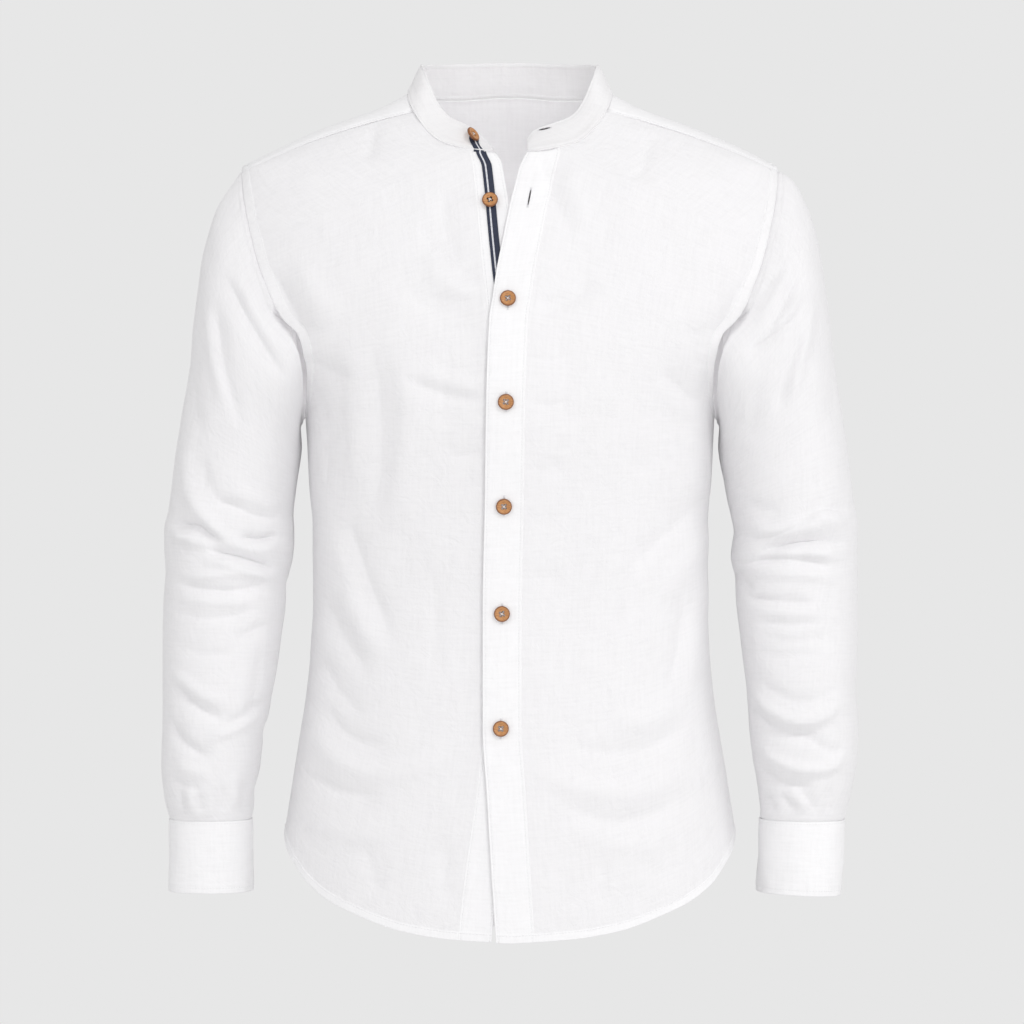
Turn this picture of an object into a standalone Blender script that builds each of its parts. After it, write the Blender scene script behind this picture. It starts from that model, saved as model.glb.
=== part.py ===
"""A mandarin collar shirt, worn and hollow: fronts, back, yoke, collar, sleeves, cuffs, plackets, buttons.

Metres, +Z up, +X towards the wearer's left, -Y towards the front. The origin is the centre of the neck
opening, level with the points where the neck seam meets the shoulders.
"""

import math

import bmesh
import bpy
import numpy as np
from mathutils import Matrix, Vector

# ---- driving sizes ----------------------------------------------------------------------------------
CLOTH = 0.0012  # wall of one cloth layer with its seam allowances
FOLDED = 0.0016  # wall of collar, cuffs, placket and button band, which are folded double
RIBBON_WALL = 0.0010
SEAM_GAP = 0.0003
SQUARENESS = 2.3  # exponent of the torso's rounded sections
PLACKET_WIDTH = 0.0325
BAND_WIDTH = 0.0285
RIBBON_WIDTH = 0.0085
COLLAR_HEIGHT = 0.0300
UNDERARM = -0.274
SIDE_HEM = -0.632
BUTTON_RADIUS = 0.0067
BUTTON_THICK = 0.0024
CUFF_BUTTON_RADIUS = 0.0055
PLACKET_LIFT = FOLDED + RIBBON_WALL + 3 * SEAM_GAP  # the placket clears the ribbon on the band below it
LIFT_REACH = 0.045  # how far the left front takes to come down from the placket's level

# Colours
WHITE = (0.86, 0.86, 0.89)
WOOD = (0.50, 0.23, 0.09)
NAVY = (0.035, 0.05, 0.11)
COTTON = (WHITE, 0.85)
TWILL = (NAVY, 0.75)
WOODEN = (WOOD, 0.5)

# Torso, a row per level: z, half width, depth in front of and behind the side seams.
# Above the underarm the half width is that of the shape under the sleeve head and shoulder.
TORSO = {
    "z": (-0.740, -0.640, -0.575, -0.518, -0.474, -0.431, -0.368, -0.326, -0.274, -0.250, -0.220, -0.190,
          -0.157, -0.110, -0.080, -0.055),
    "half_width": (0.2090, 0.1965, 0.1865, 0.1775, 0.1730, 0.1708, 0.1710, 0.1746, 0.1775, 0.1830, 0.2080,
                   0.2340, 0.2480, 0.2480, 0.2400, 0.2320),
    "front": (0.1200, 0.1170, 0.1135, 0.1095, 0.1070, 0.1055, 0.1080, 0.1120, 0.1180, 0.1185, 0.1160, 0.1120,
              0.1050, 0.0900, 0.0790, 0.0670),
    "back": (0.1260, 0.1220, 0.1150, 0.1070, 0.1020, 0.0990, 0.1010, 0.1060, 0.1140, 0.1165, 0.1185, 0.1190,
             0.1180, 0.1120, 0.1040, 0.0940),
}
# Shoulder line seen from the front: distance from the centre and height.
SHOULDER = {
    "x": (0.000, 0.060, 0.088, 0.110, 0.160, 0.210, 0.232),
    "z": (0.046, 0.026, 0.009, -0.003, -0.021, -0.0435, -0.0555),
}
# Front yoke seam seen from the front.
FRONT_SEAM = {
    "x": (0.0826, 0.1100, 0.1600, 0.2100, 0.2313),
    "z": (-0.0084, -0.0150, -0.0300, -0.0500, -0.0605),
}
BACK_SEAM_CENTRE = -0.088
BACK_SEAM_FALL = 0.017  # the back yoke seam falls this much on its way to the armholes
# Depths above the shoulder points, towards the neck.
SHOULDER_DEPTH = {
    "z": (-0.055, -0.040, -0.020, 0.000, 0.015, 0.046),
    "front": (0.0670, 0.0590, 0.0500, 0.0430, 0.0380, 0.0300),
    "back": (0.0940, 0.0870, 0.0740, 0.0620, 0.0560, 0.0450),
}
# Armhole edges: height and distance from the centre, front and back.
ARMHOLE = {
    "z": (-0.274, -0.255, -0.235, -0.2165, -0.2035, -0.191, -0.176, -0.157, -0.137, -0.112, -0.080, -0.058),
    "front": (0.1775, 0.1740, 0.1735, 0.1760, 0.1820, 0.1935, 0.2025, 0.2095, 0.2160, 0.2225, 0.2290, 0.2315),
    "back": (0.1775, 0.1800, 0.1850, 0.1910, 0.1960, 0.2010, 0.2065, 0.2120, 0.2170, 0.2225, 0.2285, 0.2315),
}
# Neck seam seen from above, from the centre front round to the centre back.
NECK = {
    "x": (0.0000, 0.0273, 0.0548, 0.0700, 0.0815, 0.0862, 0.0874, 0.0862, 0.0790, 0.0630, 0.0420, 0.0210, 0.0000),
    "y": (-0.0628, -0.0622, -0.0580, -0.0515, -0.0405, -0.0250, -0.0040, 0.0170, 0.0320, 0.0450, 0.0530, 0.0562,
          0.0570),
}
# Shirt-tail hem: share of the half width and height, front and back.
HEM = {
    "share": (0.00, 0.27, 0.45, 0.55, 0.63, 0.75, 0.85, 0.92, 0.97, 1.00),
    "front": (-0.7155, -0.7120, -0.7060, -0.7000, -0.6940, -0.6840, -0.6710, -0.6565, -0.6440, SIDE_HEM),
    "back": (-0.7290, -0.7255, -0.7185, -0.7115, -0.7045, -0.6925, -0.6775, -0.6610, -0.6460, SIDE_HEM),
}
# Placket's outer edge (towards the wearer's right) and the band's seam, down the front.
PLACKET_EDGE = {
    "z": (-0.0478, -0.0621, -0.0798, -0.1001, -0.1244, -0.1485, -0.1724, -0.1928, -0.2618, -0.3490, -0.4398,
          -0.5345, -0.5906, -0.6783, -0.7159),
    "x": (0.0100, 0.0064, 0.0026, -0.0017, -0.0062, -0.0109, -0.0145, -0.0175, -0.0200, -0.0212, -0.0229,
          -0.0229, -0.0195, -0.0142, -0.0115),
}
BAND_SEAM = {
    "z": (-0.0478, -0.0568, -0.0816, -0.1122, -0.1545, -0.1724, -0.2618, -0.3490, -0.4398, -0.5345, -0.5906,
          -0.6833, -0.7125),
    "x": (-0.0341, -0.0326, -0.0297, -0.0270, -0.0227, -0.0205, -0.0176, -0.0185, -0.0202, -0.0218, -0.0285,
          -0.0410, -0.0436),
}


# Sleeves, a row per section: the outermost and innermost points seen from the front, and the section's
# foremost and rearmost depth.
SLEEVE_RIGHT = {
    "outer_x": (0.2315, 0.2401, 0.2540, 0.2614, 0.2671, 0.2706, 0.2740, 0.2767, 0.2805, 0.2850, 0.2895, 0.2945,
                0.2965, 0.3000, 0.2998, 0.2984, 0.3000, 0.3005, 0.3005, 0.3008, 0.3015, 0.3022, 0.3000, 0.2955),
    "outer_z": (-0.0580, -0.0704, -0.0921, -0.1139, -0.1365, -0.1626, -0.1880, -0.2131, -0.2400, -0.2680, -0.3000,
                -0.3392, -0.3530, -0.3690, -0.3850, -0.4062, -0.4300, -0.4560, -0.4850, -0.5150, -0.5454, -0.5720,
                -0.5960, -0.6178),
    "inner_x": (0.1775, 0.1800, 0.1803, 0.1806, 0.1808, 0.1810, 0.1812, 0.1818, 0.1830, 0.1850, 0.1870, 0.1889,
                0.1882, 0.1880, 0.1892, 0.1930, 0.1948, 0.1980, 0.2016, 0.2066, 0.2123, 0.2160, 0.2195, 0.2222),
    "inner_z": (-0.2740, -0.2790, -0.2830, -0.2870, -0.2905, -0.2940, -0.2980, -0.3030, -0.3120, -0.3240, -0.3390,
                -0.3560, -0.3680, -0.3800, -0.3940, -0.4120, -0.4330, -0.4580, -0.4860, -0.5155, -0.5454, -0.5720,
                -0.5960, -0.6178),
    "front_y": (-0.0700, -0.0760, -0.0810, -0.0830, -0.0835, -0.0830, -0.0815, -0.0800, -0.0780, -0.0755, -0.0730,
                -0.0705, -0.0700, -0.0695, -0.0690, -0.0690, -0.0695, -0.0700, -0.0705, -0.0710, -0.0705, -0.0690,
                -0.0660, -0.0600),
    "back_y": (0.0720, 0.0790, 0.0840, 0.0865, 0.0875, 0.0870, 0.0855, 0.0835, 0.0810, 0.0775, 0.0735, 0.0690,
               0.0670, 0.0650, 0.0625, 0.0590, 0.0555, 0.0515, 0.0475, 0.0430, 0.0380, 0.0330, 0.0265, 0.0170),
}
SLEEVE_LEFT = {
    "outer_x": (0.2315, 0.2445, 0.2558, 0.2630, 0.2688, 0.2732, 0.2765, 0.2793, 0.2835, 0.2875, 0.2925, 0.2970,
                0.2990, 0.3019, 0.3012, 0.3010, 0.3010, 0.3010, 0.3008, 0.2995, 0.3023, 0.3010, 0.2968, 0.2910),
    "outer_z": (-0.0580, -0.0678, -0.0878, -0.1060, -0.1295, -0.1600, -0.1820, -0.2026, -0.2330, -0.2640, -0.2990,
                -0.3360, -0.3500, -0.3660, -0.3850, -0.4080, -0.4320, -0.4580, -0.4840, -0.5060, -0.5380, -0.5660,
                -0.5920, -0.6178),
    "inner_x": (0.1775, 0.1800, 0.1803, 0.1806, 0.1808, 0.1811, 0.1815, 0.1822, 0.1838, 0.1866, 0.1892, 0.1930,
                0.1952, 0.1935, 0.1923, 0.1955, 0.1966, 0.1992, 0.2020, 0.2048, 0.2066, 0.2095, 0.2133, 0.2160),
    "inner_z": (-0.2740, -0.2790, -0.2830, -0.2870, -0.2905, -0.2940, -0.2980, -0.3030, -0.3130, -0.3260, -0.3420,
                -0.3590, -0.3710, -0.3820, -0.3930, -0.4110, -0.4330, -0.4580, -0.4840, -0.5080, -0.5390, -0.5660,
                -0.5920, -0.6178),
    "front_y": SLEEVE_RIGHT["front_y"],
    "back_y": SLEEVE_RIGHT["back_y"],
}
# Cuffs: the same columns, at the top and bottom edges.
CUFF_RIGHT = {
    "outer_x": (0.2945, 0.2947),
    "outer_z": (-0.6185, -0.6803),
    "inner_x": (0.2229, 0.2220),
    "inner_z": (-0.6185, -0.6803),
    "front_y": (-0.0580, -0.0585),
    "back_y": (0.0150, 0.0145),
}
CUFF_LEFT = {
    "outer_x": (0.2896, 0.2862),
    "outer_z": (-0.6190, -0.6840),
    "inner_x": (0.2165, 0.2134),
    "inner_z": (-0.6185, -0.6807),
    "front_y": (-0.0580, -0.0585),
    "back_y": (0.0150, 0.0145),
}


def smooth_table(table, key, column):
    """The column as a smooth function of the key: cubic pieces whose slopes never overshoot the rows."""
    order = np.argsort(table[key])
    keys = np.array(table[key])[order]
    values = np.array(table[column])[order]
    steps = np.diff(values) / np.diff(keys)
    slopes = np.zeros(len(keys))
    slopes[0] = steps[0]
    slopes[-1] = steps[-1]
    for i in range(1, len(keys) - 1):
        if steps[i - 1] * steps[i] > 0.0:
            slopes[i] = 2.0 / (1.0 / steps[i - 1] + 1.0 / steps[i])

    def value(at):
        at = min(max(at, keys[0]), keys[-1])
        i = min(int(np.searchsorted(keys, at, side="right")) - 1, len(keys) - 2)
        width = keys[i + 1] - keys[i]
        t = (at - keys[i]) / width
        first = (2 * t**3 - 3 * t**2 + 1) * values[i] + (t**3 - 2 * t**2 + t) * width * slopes[i]
        second = (3 * t**2 - 2 * t**3) * values[i + 1] + (t**3 - t**2) * width * slopes[i + 1]
        return float(first + second)

    return value


def row_table(table):
    """Each column of a table without a key, as a smooth function of the share of the way down its rows."""
    count = len(next(iter(table.values())))
    rows = {"row": tuple(i / (count - 1) for i in range(count)), **table}
    return {column: smooth_table(rows, "row", column) for column in table}


HALF_WIDTH = smooth_table(TORSO, "z", "half_width")
SHOULDER_REACH = smooth_table(SHOULDER, "z", "x")
RIDGE = smooth_table(SHOULDER, "x", "z")
FRONT_SEAM_HEIGHT = smooth_table(FRONT_SEAM, "x", "z")
EDGE_OF_PLACKET = smooth_table(PLACKET_EDGE, "z", "x")
SEAM_OF_BAND = smooth_table(BAND_SEAM, "z", "x")
TORSO_DEPTH = {face: smooth_table(TORSO, "z", face) for face in ("front", "back")}
NECK_DEPTH = {face: smooth_table(SHOULDER_DEPTH, "z", face) for face in ("front", "back")}
ARMHOLE_REACH = {face: smooth_table(ARMHOLE, "z", face) for face in ("front", "back")}
HEM_HEIGHT = {face: smooth_table(HEM, "share", face) for face in ("front", "back")}
SHOULDER_POINT = SHOULDER_DEPTH["z"][0]
ARMHOLE_TOP = -0.0565


def lerp(start, end, share):
    return start + (end - start) * share


def ease(share):
    """A smooth step from 0 to 1."""
    share = min(max(share, 0.0), 1.0)
    return share * share * (3.0 - 2.0 * share)


def depth(x, z, face):
    """How far the torso's surface stands in front of or behind the side seams, where x and z are seen."""
    above = z > SHOULDER_POINT
    half = SHOULDER_REACH(z) if above else HALF_WIDTH(z)
    middle = NECK_DEPTH[face](z) if above else TORSO_DEPTH[face](z)
    share = min(abs(x) / half, 1.0)
    return middle * (1.0 - share**SQUARENESS) ** (1.0 / SQUARENESS)


def torso_point(x, z, face):
    return (x, -depth(x, z, face) if face == "front" else depth(x, z, face), z)


def torso_normal(point):
    """The outward normal of the torso's surface at a point on it or near it."""
    x, y, z = point
    face = "front" if y < 0.0 else "back"
    above = z > SHOULDER_POINT
    half_at = SHOULDER_REACH if above else HALF_WIDTH
    middle_at = NECK_DEPTH[face] if above else TORSO_DEPTH[face]
    half = half_at(z)
    middle = middle_at(z)
    step = 0.001
    half_slope = (half_at(z + step) - half_at(z - step)) / (2.0 * step)
    middle_slope = (middle_at(z + step) - middle_at(z - step)) / (2.0 * step)
    level = math.copysign(abs(x / half) ** (SQUARENESS - 1.0) / half, x)
    ahead = math.copysign(abs(y / middle) ** (SQUARENESS - 1.0) / middle, y)
    rise = -abs(y / middle) ** SQUARENESS / middle * middle_slope - abs(x / half) ** SQUARENESS / half * half_slope
    normal = np.array([level, ahead, rise])
    return normal / np.linalg.norm(normal)


def torso_normals(grid):
    return np.array([[torso_normal(point) for point in row] for row in grid])


def turn_of(share):
    """The angle, round a section, of a place at this share of the half width."""
    return math.asin(min(share, 1.0) ** (SQUARENESS / 2.0))


def share_of(turn):
    return math.sin(turn) ** (2.0 / SQUARENESS)


def surface_height(x, y):
    """The height at which the shoulders' surface passes over a place seen from above."""
    face = "front" if y < 0.0 else "back"
    low = -0.12
    high = RIDGE(abs(x)) - 1e-6
    for _ in range(40):
        middle = (low + high) / 2.0
        if depth(x, middle, face) > abs(y):
            low = middle
        else:
            high = middle
    return (low + high) / 2.0


def resample(points, count):
    """The polyline's points again, count of them, evenly along its length."""
    points = np.array(points)
    lengths = np.concatenate([[0.0], np.cumsum(np.linalg.norm(np.diff(points, axis=0), axis=1))])
    at = np.linspace(0.0, lengths[-1], count)
    return np.stack([np.interp(at, lengths, points[:, k]) for k in range(3)], axis=1)


# ---- walls from grids of points ---------------------------------------------------------------------
def grid_normals(grid, closed):
    """Unit normals of a grid whose rows run along axis 0; axis 1 joins up where closed."""
    down = np.gradient(grid, axis=0)
    if closed:
        across = np.roll(grid, -1, axis=1) - np.roll(grid, 1, axis=1)
    else:
        across = np.gradient(grid, axis=1)
    normals = np.cross(across, down)
    return normals / np.linalg.norm(normals, axis=2, keepdims=True)


def trim(grid, sides, distance=SEAM_GAP / 2.0):
    """Draws the named edges of a grid in along its surface, to leave the seam's gap."""
    grid = grid.copy()
    edges = {"first_row": (grid[0], grid[1]), "last_row": (grid[-1], grid[-2]),
             "first_column": (grid[:, 0], grid[:, 1]), "last_column": (grid[:, -1], grid[:, -2])}
    for side in sides:
        edge, inner = edges[side]
        step = inner - edge
        edge += step / np.linalg.norm(step, axis=1, keepdims=True) * distance
    return grid


def material(name, colour, roughness):
    made = bpy.data.materials.new(name)
    made.use_nodes = True
    shader = made.node_tree.nodes["Principled BSDF"]
    shader.inputs["Base Color"].default_value = (*colour, 1.0)
    shader.inputs["Roughness"].default_value = roughness
    made.diffuse_color = (*colour, 1.0)
    return made


def add_object(name, mesh, finish):
    """A new object from a bmesh, closed and facing out."""
    data = bpy.data.meshes.new(name)
    bmesh.ops.recalc_face_normals(mesh, faces=mesh.faces)
    mesh.to_mesh(data)
    mesh.free()
    data.shade_smooth()
    data.set_sharp_from_angle(angle=math.radians(40.0))
    data.materials.append(material(name, *finish))
    made = bpy.data.objects.new(name, data)
    bpy.context.scene.collection.objects.link(made)
    return made


def add_wall(name, grid, thickness, finish, closed=False, on_torso=False):
    """A wall of cloth with the grid as its middle surface; a closed grid makes a tube, open at both ends."""
    normals = torso_normals(grid) if on_torso else grid_normals(grid, closed)
    rows, columns = grid.shape[:2]
    mesh = bmesh.new()
    skins = []
    for way in (0.5, -0.5):
        points = grid + normals * thickness * way
        skins.append([[mesh.verts.new(points[i, j]) for j in range(columns)] for i in range(rows)])
    outer, inner = skins
    spans = range(columns) if closed else range(columns - 1)
    for i in range(rows - 1):
        for j in spans:
            k = (j + 1) % columns
            mesh.faces.new((outer[i][j], outer[i][k], outer[i + 1][k], outer[i + 1][j]))
            mesh.faces.new((inner[i][j], inner[i + 1][j], inner[i + 1][k], inner[i][k]))
    for i in (0, rows - 1):
        for j in spans:
            k = (j + 1) % columns
            mesh.faces.new((outer[i][j], inner[i][j], inner[i][k], outer[i][k]))
    if not closed:
        for j in (0, columns - 1):
            for i in range(rows - 1):
                mesh.faces.new((outer[i][j], outer[i + 1][j], inner[i + 1][j], inner[i][j]))
    bmesh.ops.triangulate(mesh, faces=mesh.faces)
    return add_object(name, mesh, finish)


# ---- torso panels -----------------------------------------------------------------------------------
LOWER_ROWS = 12  # from the hem to the underarm
UPPER_ROWS = 8  # from the underarm to the front neck corner
NECK_ROWS = 7  # from there to the yoke's front seam
PANEL_COLUMNS = 11
CORNER_ARMHOLE = -0.128  # height on the armhole that is level with the front neck corner
FRONT_SEAM_END = FRONT_SEAM["z"][-1]
BACK_SEAM_END = BACK_SEAM_CENTRE - BACK_SEAM_FALL
NECK_CORNER = -0.0450  # height of the front neck corners
NECK_SEAM_MEET = 0.0826  # distance from the centre at which the front yoke seam meets the neck
NECK_SAMPLES = 200


def front_inner_edge(side, z):
    """Distance from the centre of a front panel's seam with the placket (+1) or the button band (-1)."""
    return EDGE_OF_PLACKET(z) + PLACKET_WIDTH if side > 0 else -SEAM_OF_BAND(z)


def neck_plan():
    """The wearer's left half of the neck seam seen from above, from the centre front to the centre back."""
    return resample([(x, y, 0.0) for x, y in zip(NECK["x"], NECK["y"])], NECK_SAMPLES)


def neck_front_height(x):
    """Height of the neck seam in front, at a distance from the centre."""
    ahead = neck_plan()[: NECK_SAMPLES * 9 // 20]
    return surface_height(x, float(np.interp(abs(x), ahead[:, 0], ahead[:, 1])))


def lower_row(share_down, face, inner, columns):
    """A row between the underarm and the hem: distances from the centre and heights."""
    middle = lerp(UNDERARM, HEM_HEIGHT[face](0.1), share_down)
    first = turn_of(inner(middle) / HALF_WIDTH(middle))
    row = []
    for j in range(columns + 1):
        share = share_of(lerp(first, math.pi / 2.0, j / columns))
        z = lerp(UNDERARM, HEM_HEIGHT[face](share), share_down)
        row.append((share * HALF_WIDTH(z), z))
    return row


def upper_row(start, end, columns):
    """A row between two places seen from the front, its points spread as the section curves."""
    turns = []
    for x, z in (start, end):
        half = SHOULDER_REACH(z) if z > SHOULDER_POINT else HALF_WIDTH(z)
        turns.append(turn_of(x / half))
    low = share_of(turns[0])
    high = share_of(turns[1])
    row = []
    for j in range(columns + 1):
        share = (share_of(lerp(turns[0], turns[1], j / columns)) - low) / (high - low)
        row.append((lerp(start[0], end[0], share), lerp(start[1], end[1], share)))
    return row


def front_rows(side, rows=(LOWER_ROWS, UPPER_ROWS, NECK_ROWS), columns=PANEL_COLUMNS):
    """A front panel's rows from hem to yoke, seen from the front, as distances from the centre and heights."""

    def inner(z):
        return front_inner_edge(side, z)

    lower, upper, neck = rows
    table = [lower_row(1.0 - i / lower, "front", inner, columns) for i in range(lower)]
    corner_x = inner(NECK_CORNER)
    corner = (corner_x, neck_front_height(corner_x))
    for i in range(upper):
        z = lerp(UNDERARM, corner[1], i / upper)
        arm = lerp(UNDERARM, CORNER_ARMHOLE, i / upper)
        table.append(upper_row((inner(z), z), (ARMHOLE_REACH["front"](arm), arm), columns))
    first = turn_of(corner_x / NECK_SEAM_MEET)
    for i in range(neck + 1):
        x = share_of(lerp(first, math.pi / 2.0, i / neck)) * NECK_SEAM_MEET
        arm = lerp(CORNER_ARMHOLE, FRONT_SEAM_END, i / neck)
        height = neck_front_height(x)
        row = upper_row((x, height), (ARMHOLE_REACH["front"](arm), arm), columns)
        below = (FRONT_SEAM_HEIGHT(x) - height, FRONT_SEAM_HEIGHT(row[-1][0]) - arm)
        level = ease(3.0 * i / neck)  # the upper rows run level with the seam
        table.append([(a, lerp(z, FRONT_SEAM_HEIGHT(a) - lerp(*below, j / columns), level))
                      for j, (a, z) in enumerate(row)])
    return table


def surface_grid(rows, face, side=1.0):
    return np.array([[torso_point(side * x, z, face) for x, z in row] for row in rows])


def raise_grid(grid, heights):
    """A grid on the torso moved out along its normals, by one distance or by one for each point."""
    heights = np.asarray(heights)
    return grid + torso_normals(grid) * (heights[..., None] if heights.ndim else heights)


def front_panel(side):
    grid = surface_grid(front_rows(side), "front", side)
    if side > 0:
        away = grid[..., 0] - grid[:, :1, 0]
        lift = np.vectorize(lambda d: PLACKET_LIFT * (1.0 - ease(d / LIFT_REACH)))(away)
        grid = raise_grid(grid, lift)
    return trim(trim(grid, ("last_row", "last_column")), ("first_column",), SEAM_GAP)


def back_panel():
    rows = []
    for i in range(LOWER_ROWS):
        half = lower_row(1.0 - i / LOWER_ROWS, "back", lambda z: 0.0, PANEL_COLUMNS)
        rows.append(half)
    for i in range(UPPER_ROWS + 1):
        centre = lerp(UNDERARM, BACK_SEAM_CENTRE, i / UPPER_ROWS)
        arm = lerp(UNDERARM, BACK_SEAM_END, i / UPPER_ROWS)
        rows.append(upper_row((0.0, centre), (ARMHOLE_REACH["back"](arm), arm), PANEL_COLUMNS))
    half = surface_grid(rows, "back")
    mirrored = half[:, :0:-1] * np.array([-1.0, 1.0, 1.0])
    grid = np.concatenate([mirrored, half], axis=1)
    return trim(grid, ("last_row", "first_column", "last_column"))


# ---- yoke, placket, band and ribbon -----------------------------------------------------------------
YOKE_ROWS = 8
YOKE_SIDE_COLUMNS = PANEL_COLUMNS
YOKE_NECK_COLUMNS = 18
BACK_NECK_SHARE = 0.62  # share of the yoke's back seam that lies below the neck


def arch_point(x, way):
    """A place on a shoulder: way is 1 at the back yoke seam, 0 on the ridge and -1 at the front seam."""
    reach = min(abs(x), SHOULDER["x"][-1])
    ridge = RIDGE(reach)
    end = BACK_SEAM_CENTRE - BACK_SEAM_FALL * (x / ARMHOLE_REACH["back"](BACK_SEAM_END)) ** 2
    if way < 0.0:
        end = FRONT_SEAM_HEIGHT(reach)
    z = lerp(ridge, end, way * way)
    return torso_point(x, min(z, ridge - 1e-6), "back" if way > 0.0 else "front")


def neck_ring(count):
    """The neck seam from the front yoke seam on the wearer's right, round the back, to that on the left."""
    half = neck_plan()
    ahead = half[: NECK_SAMPLES * 9 // 20]
    meet = np.array([NECK_SEAM_MEET, np.interp(NECK_SEAM_MEET, ahead[:, 0], ahead[:, 1]), 0.0])
    half = np.concatenate([[meet], half[half[:, 1] > meet[1]]])
    ring = [(-x, y, surface_height(x, y)) for x, y, _ in half]
    ring += [(x, y, surface_height(x, y)) for x, y, _ in half[-2::-1]]
    return resample(ring, count)


def arch_way(x, y, z):
    """The inverse of arch_point for a place near the neck."""
    reach = min(abs(x), SHOULDER["x"][-1])
    ridge = RIDGE(reach)
    if y > 0.0:
        end = BACK_SEAM_CENTRE - BACK_SEAM_FALL * (x / ARMHOLE_REACH["back"](BACK_SEAM_END)) ** 2
        return math.sqrt(max(ridge - z, 0.0) / (ridge - end))
    return -math.sqrt(max(ridge - z, 0.0) / (ridge - FRONT_SEAM_HEIGHT(max(reach, FRONT_SEAM["x"][0]))))


def yoke():
    ring = neck_ring(YOKE_NECK_COLUMNS + 1)
    back_reach = ARMHOLE_REACH["back"](BACK_SEAM_END)
    front_seam = front_rows(1.0)[-1]
    tops = [(-x, -1.0) for x, _ in front_seam[:0:-1]]
    tops += [(x, max(arch_way(x, y, z), -1.0)) for x, y, z in ring]
    tops += [(-x, way) for x, way in tops[YOKE_SIDE_COLUMNS - 1::-1]]
    side_end = back_reach * BACK_NECK_SHARE
    feet = [lerp(-back_reach, -side_end, i / YOKE_SIDE_COLUMNS) for i in range(YOKE_SIDE_COLUMNS)]
    feet += [lerp(-side_end, side_end, i / YOKE_NECK_COLUMNS) for i in range(YOKE_NECK_COLUMNS + 1)]
    feet += [-x for x in feet[YOKE_SIDE_COLUMNS - 1::-1]]
    rows = []
    for i in range(YOKE_ROWS + 1):
        share = i / YOKE_ROWS
        row = []
        for j, (foot, (top, way)) in enumerate(zip(feet, tops)):
            along = lerp(1.0, way, share)
            x = lerp(foot, top, share)
            if j in (0, len(feet) - 1):
                z = arch_point(x, along)[2]
                x = math.copysign(ARMHOLE_REACH["back" if along > 0.0 else "front"](z), x)
            row.append(arch_point(x, along))
        rows.append(row)
    return trim(np.array(rows), ("first_row", "last_row", "first_column", "last_column"))


STRIP_COLUMNS = 4
PANEL_STATIONS = LOWER_ROWS + UPPER_ROWS + 1  # rows of a front panel up to the front neck corner


def front_strip(side, edge, width, columns=STRIP_COLUMNS, bottom=None):
    """A strip down the front from the neck, between x = edge(z) and that plus its width, in its panel's rows."""
    levels = [row[0][1] for row in front_rows(side)[:PANEL_STATIONS]]
    rows = []
    for level in levels:
        share = (level - levels[0]) / (levels[-1] - levels[0])
        row = []
        for j in range(columns + 1):
            across = width * j / columns
            top = neck_front_height(abs(edge(NECK_CORNER) + across))
            hem = HEM_HEIGHT["front"](abs(edge(levels[0]) + across) / HALF_WIDTH(levels[0]))
            z = lerp(hem if bottom is None else bottom, top, share)
            row.append(torso_point(edge(z) + across, z, "front"))
        rows.append(row)
    return np.array(rows)


# ---- collar -----------------------------------------------------------------------------------------
COLLAR_COLUMNS = 38
COLLAR_ROWS = 4
COLLAR_END = 0.0140  # distance of each end of the collar from the centre front
# Height of the band near its ends, along it from the end: rounded on the wearer's right, squarer on the left.
COLLAR_CORNERS = {
    "along": (0.000, 0.003, 0.007, 0.012, 0.020, 0.030, 0.045),
    "right": (0.0040, 0.0085, 0.0135, 0.0185, 0.0240, 0.0280, COLLAR_HEIGHT),
    "left": (0.0135, 0.0200, 0.0245, 0.0268, 0.0285, 0.0295, COLLAR_HEIGHT),
}
# How far the band leans in towards the neck, in degrees, from the centre front (0) to the centre back (1).
# The seam column is how far above the neck seam the band starts, to clear the wall it is sewn to.
COLLAR_LEAN = {
    "round": (0.00, 0.25, 0.50, 0.75, 1.00),
    "lean": (38.0, 34.0, 28.0, 20.0, 13.0),
    "seam": (0.0012, 0.0015, 0.0016, 0.0013, 0.0009),
}
COLLAR_CURL = {"right": 0.0160, "left": 0.0045}  # the ends curl in by this much
CURL_REACH = 0.034
FOOT_CURL = 0.25  # share of the curl that the neck seam follows
COLLAR_BOW = 0.0012  # the band bows out a little between its edges
PATCH_COLUMNS = 200
PATCH_ROWS = 20


def neck_path(count):
    """The whole neck seam, from the collar's end on the wearer's right round the back to that on the left."""
    half = neck_plan()
    half = half[(half[:, 0] > COLLAR_END) | (half[:, 1] > 0.0)]
    path = [(-x, y, surface_height(x, y)) for x, y, _ in half]
    path += [(x, y, surface_height(x, y)) for x, y, _ in half[-2::-1]]
    return resample(path, count)


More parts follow.
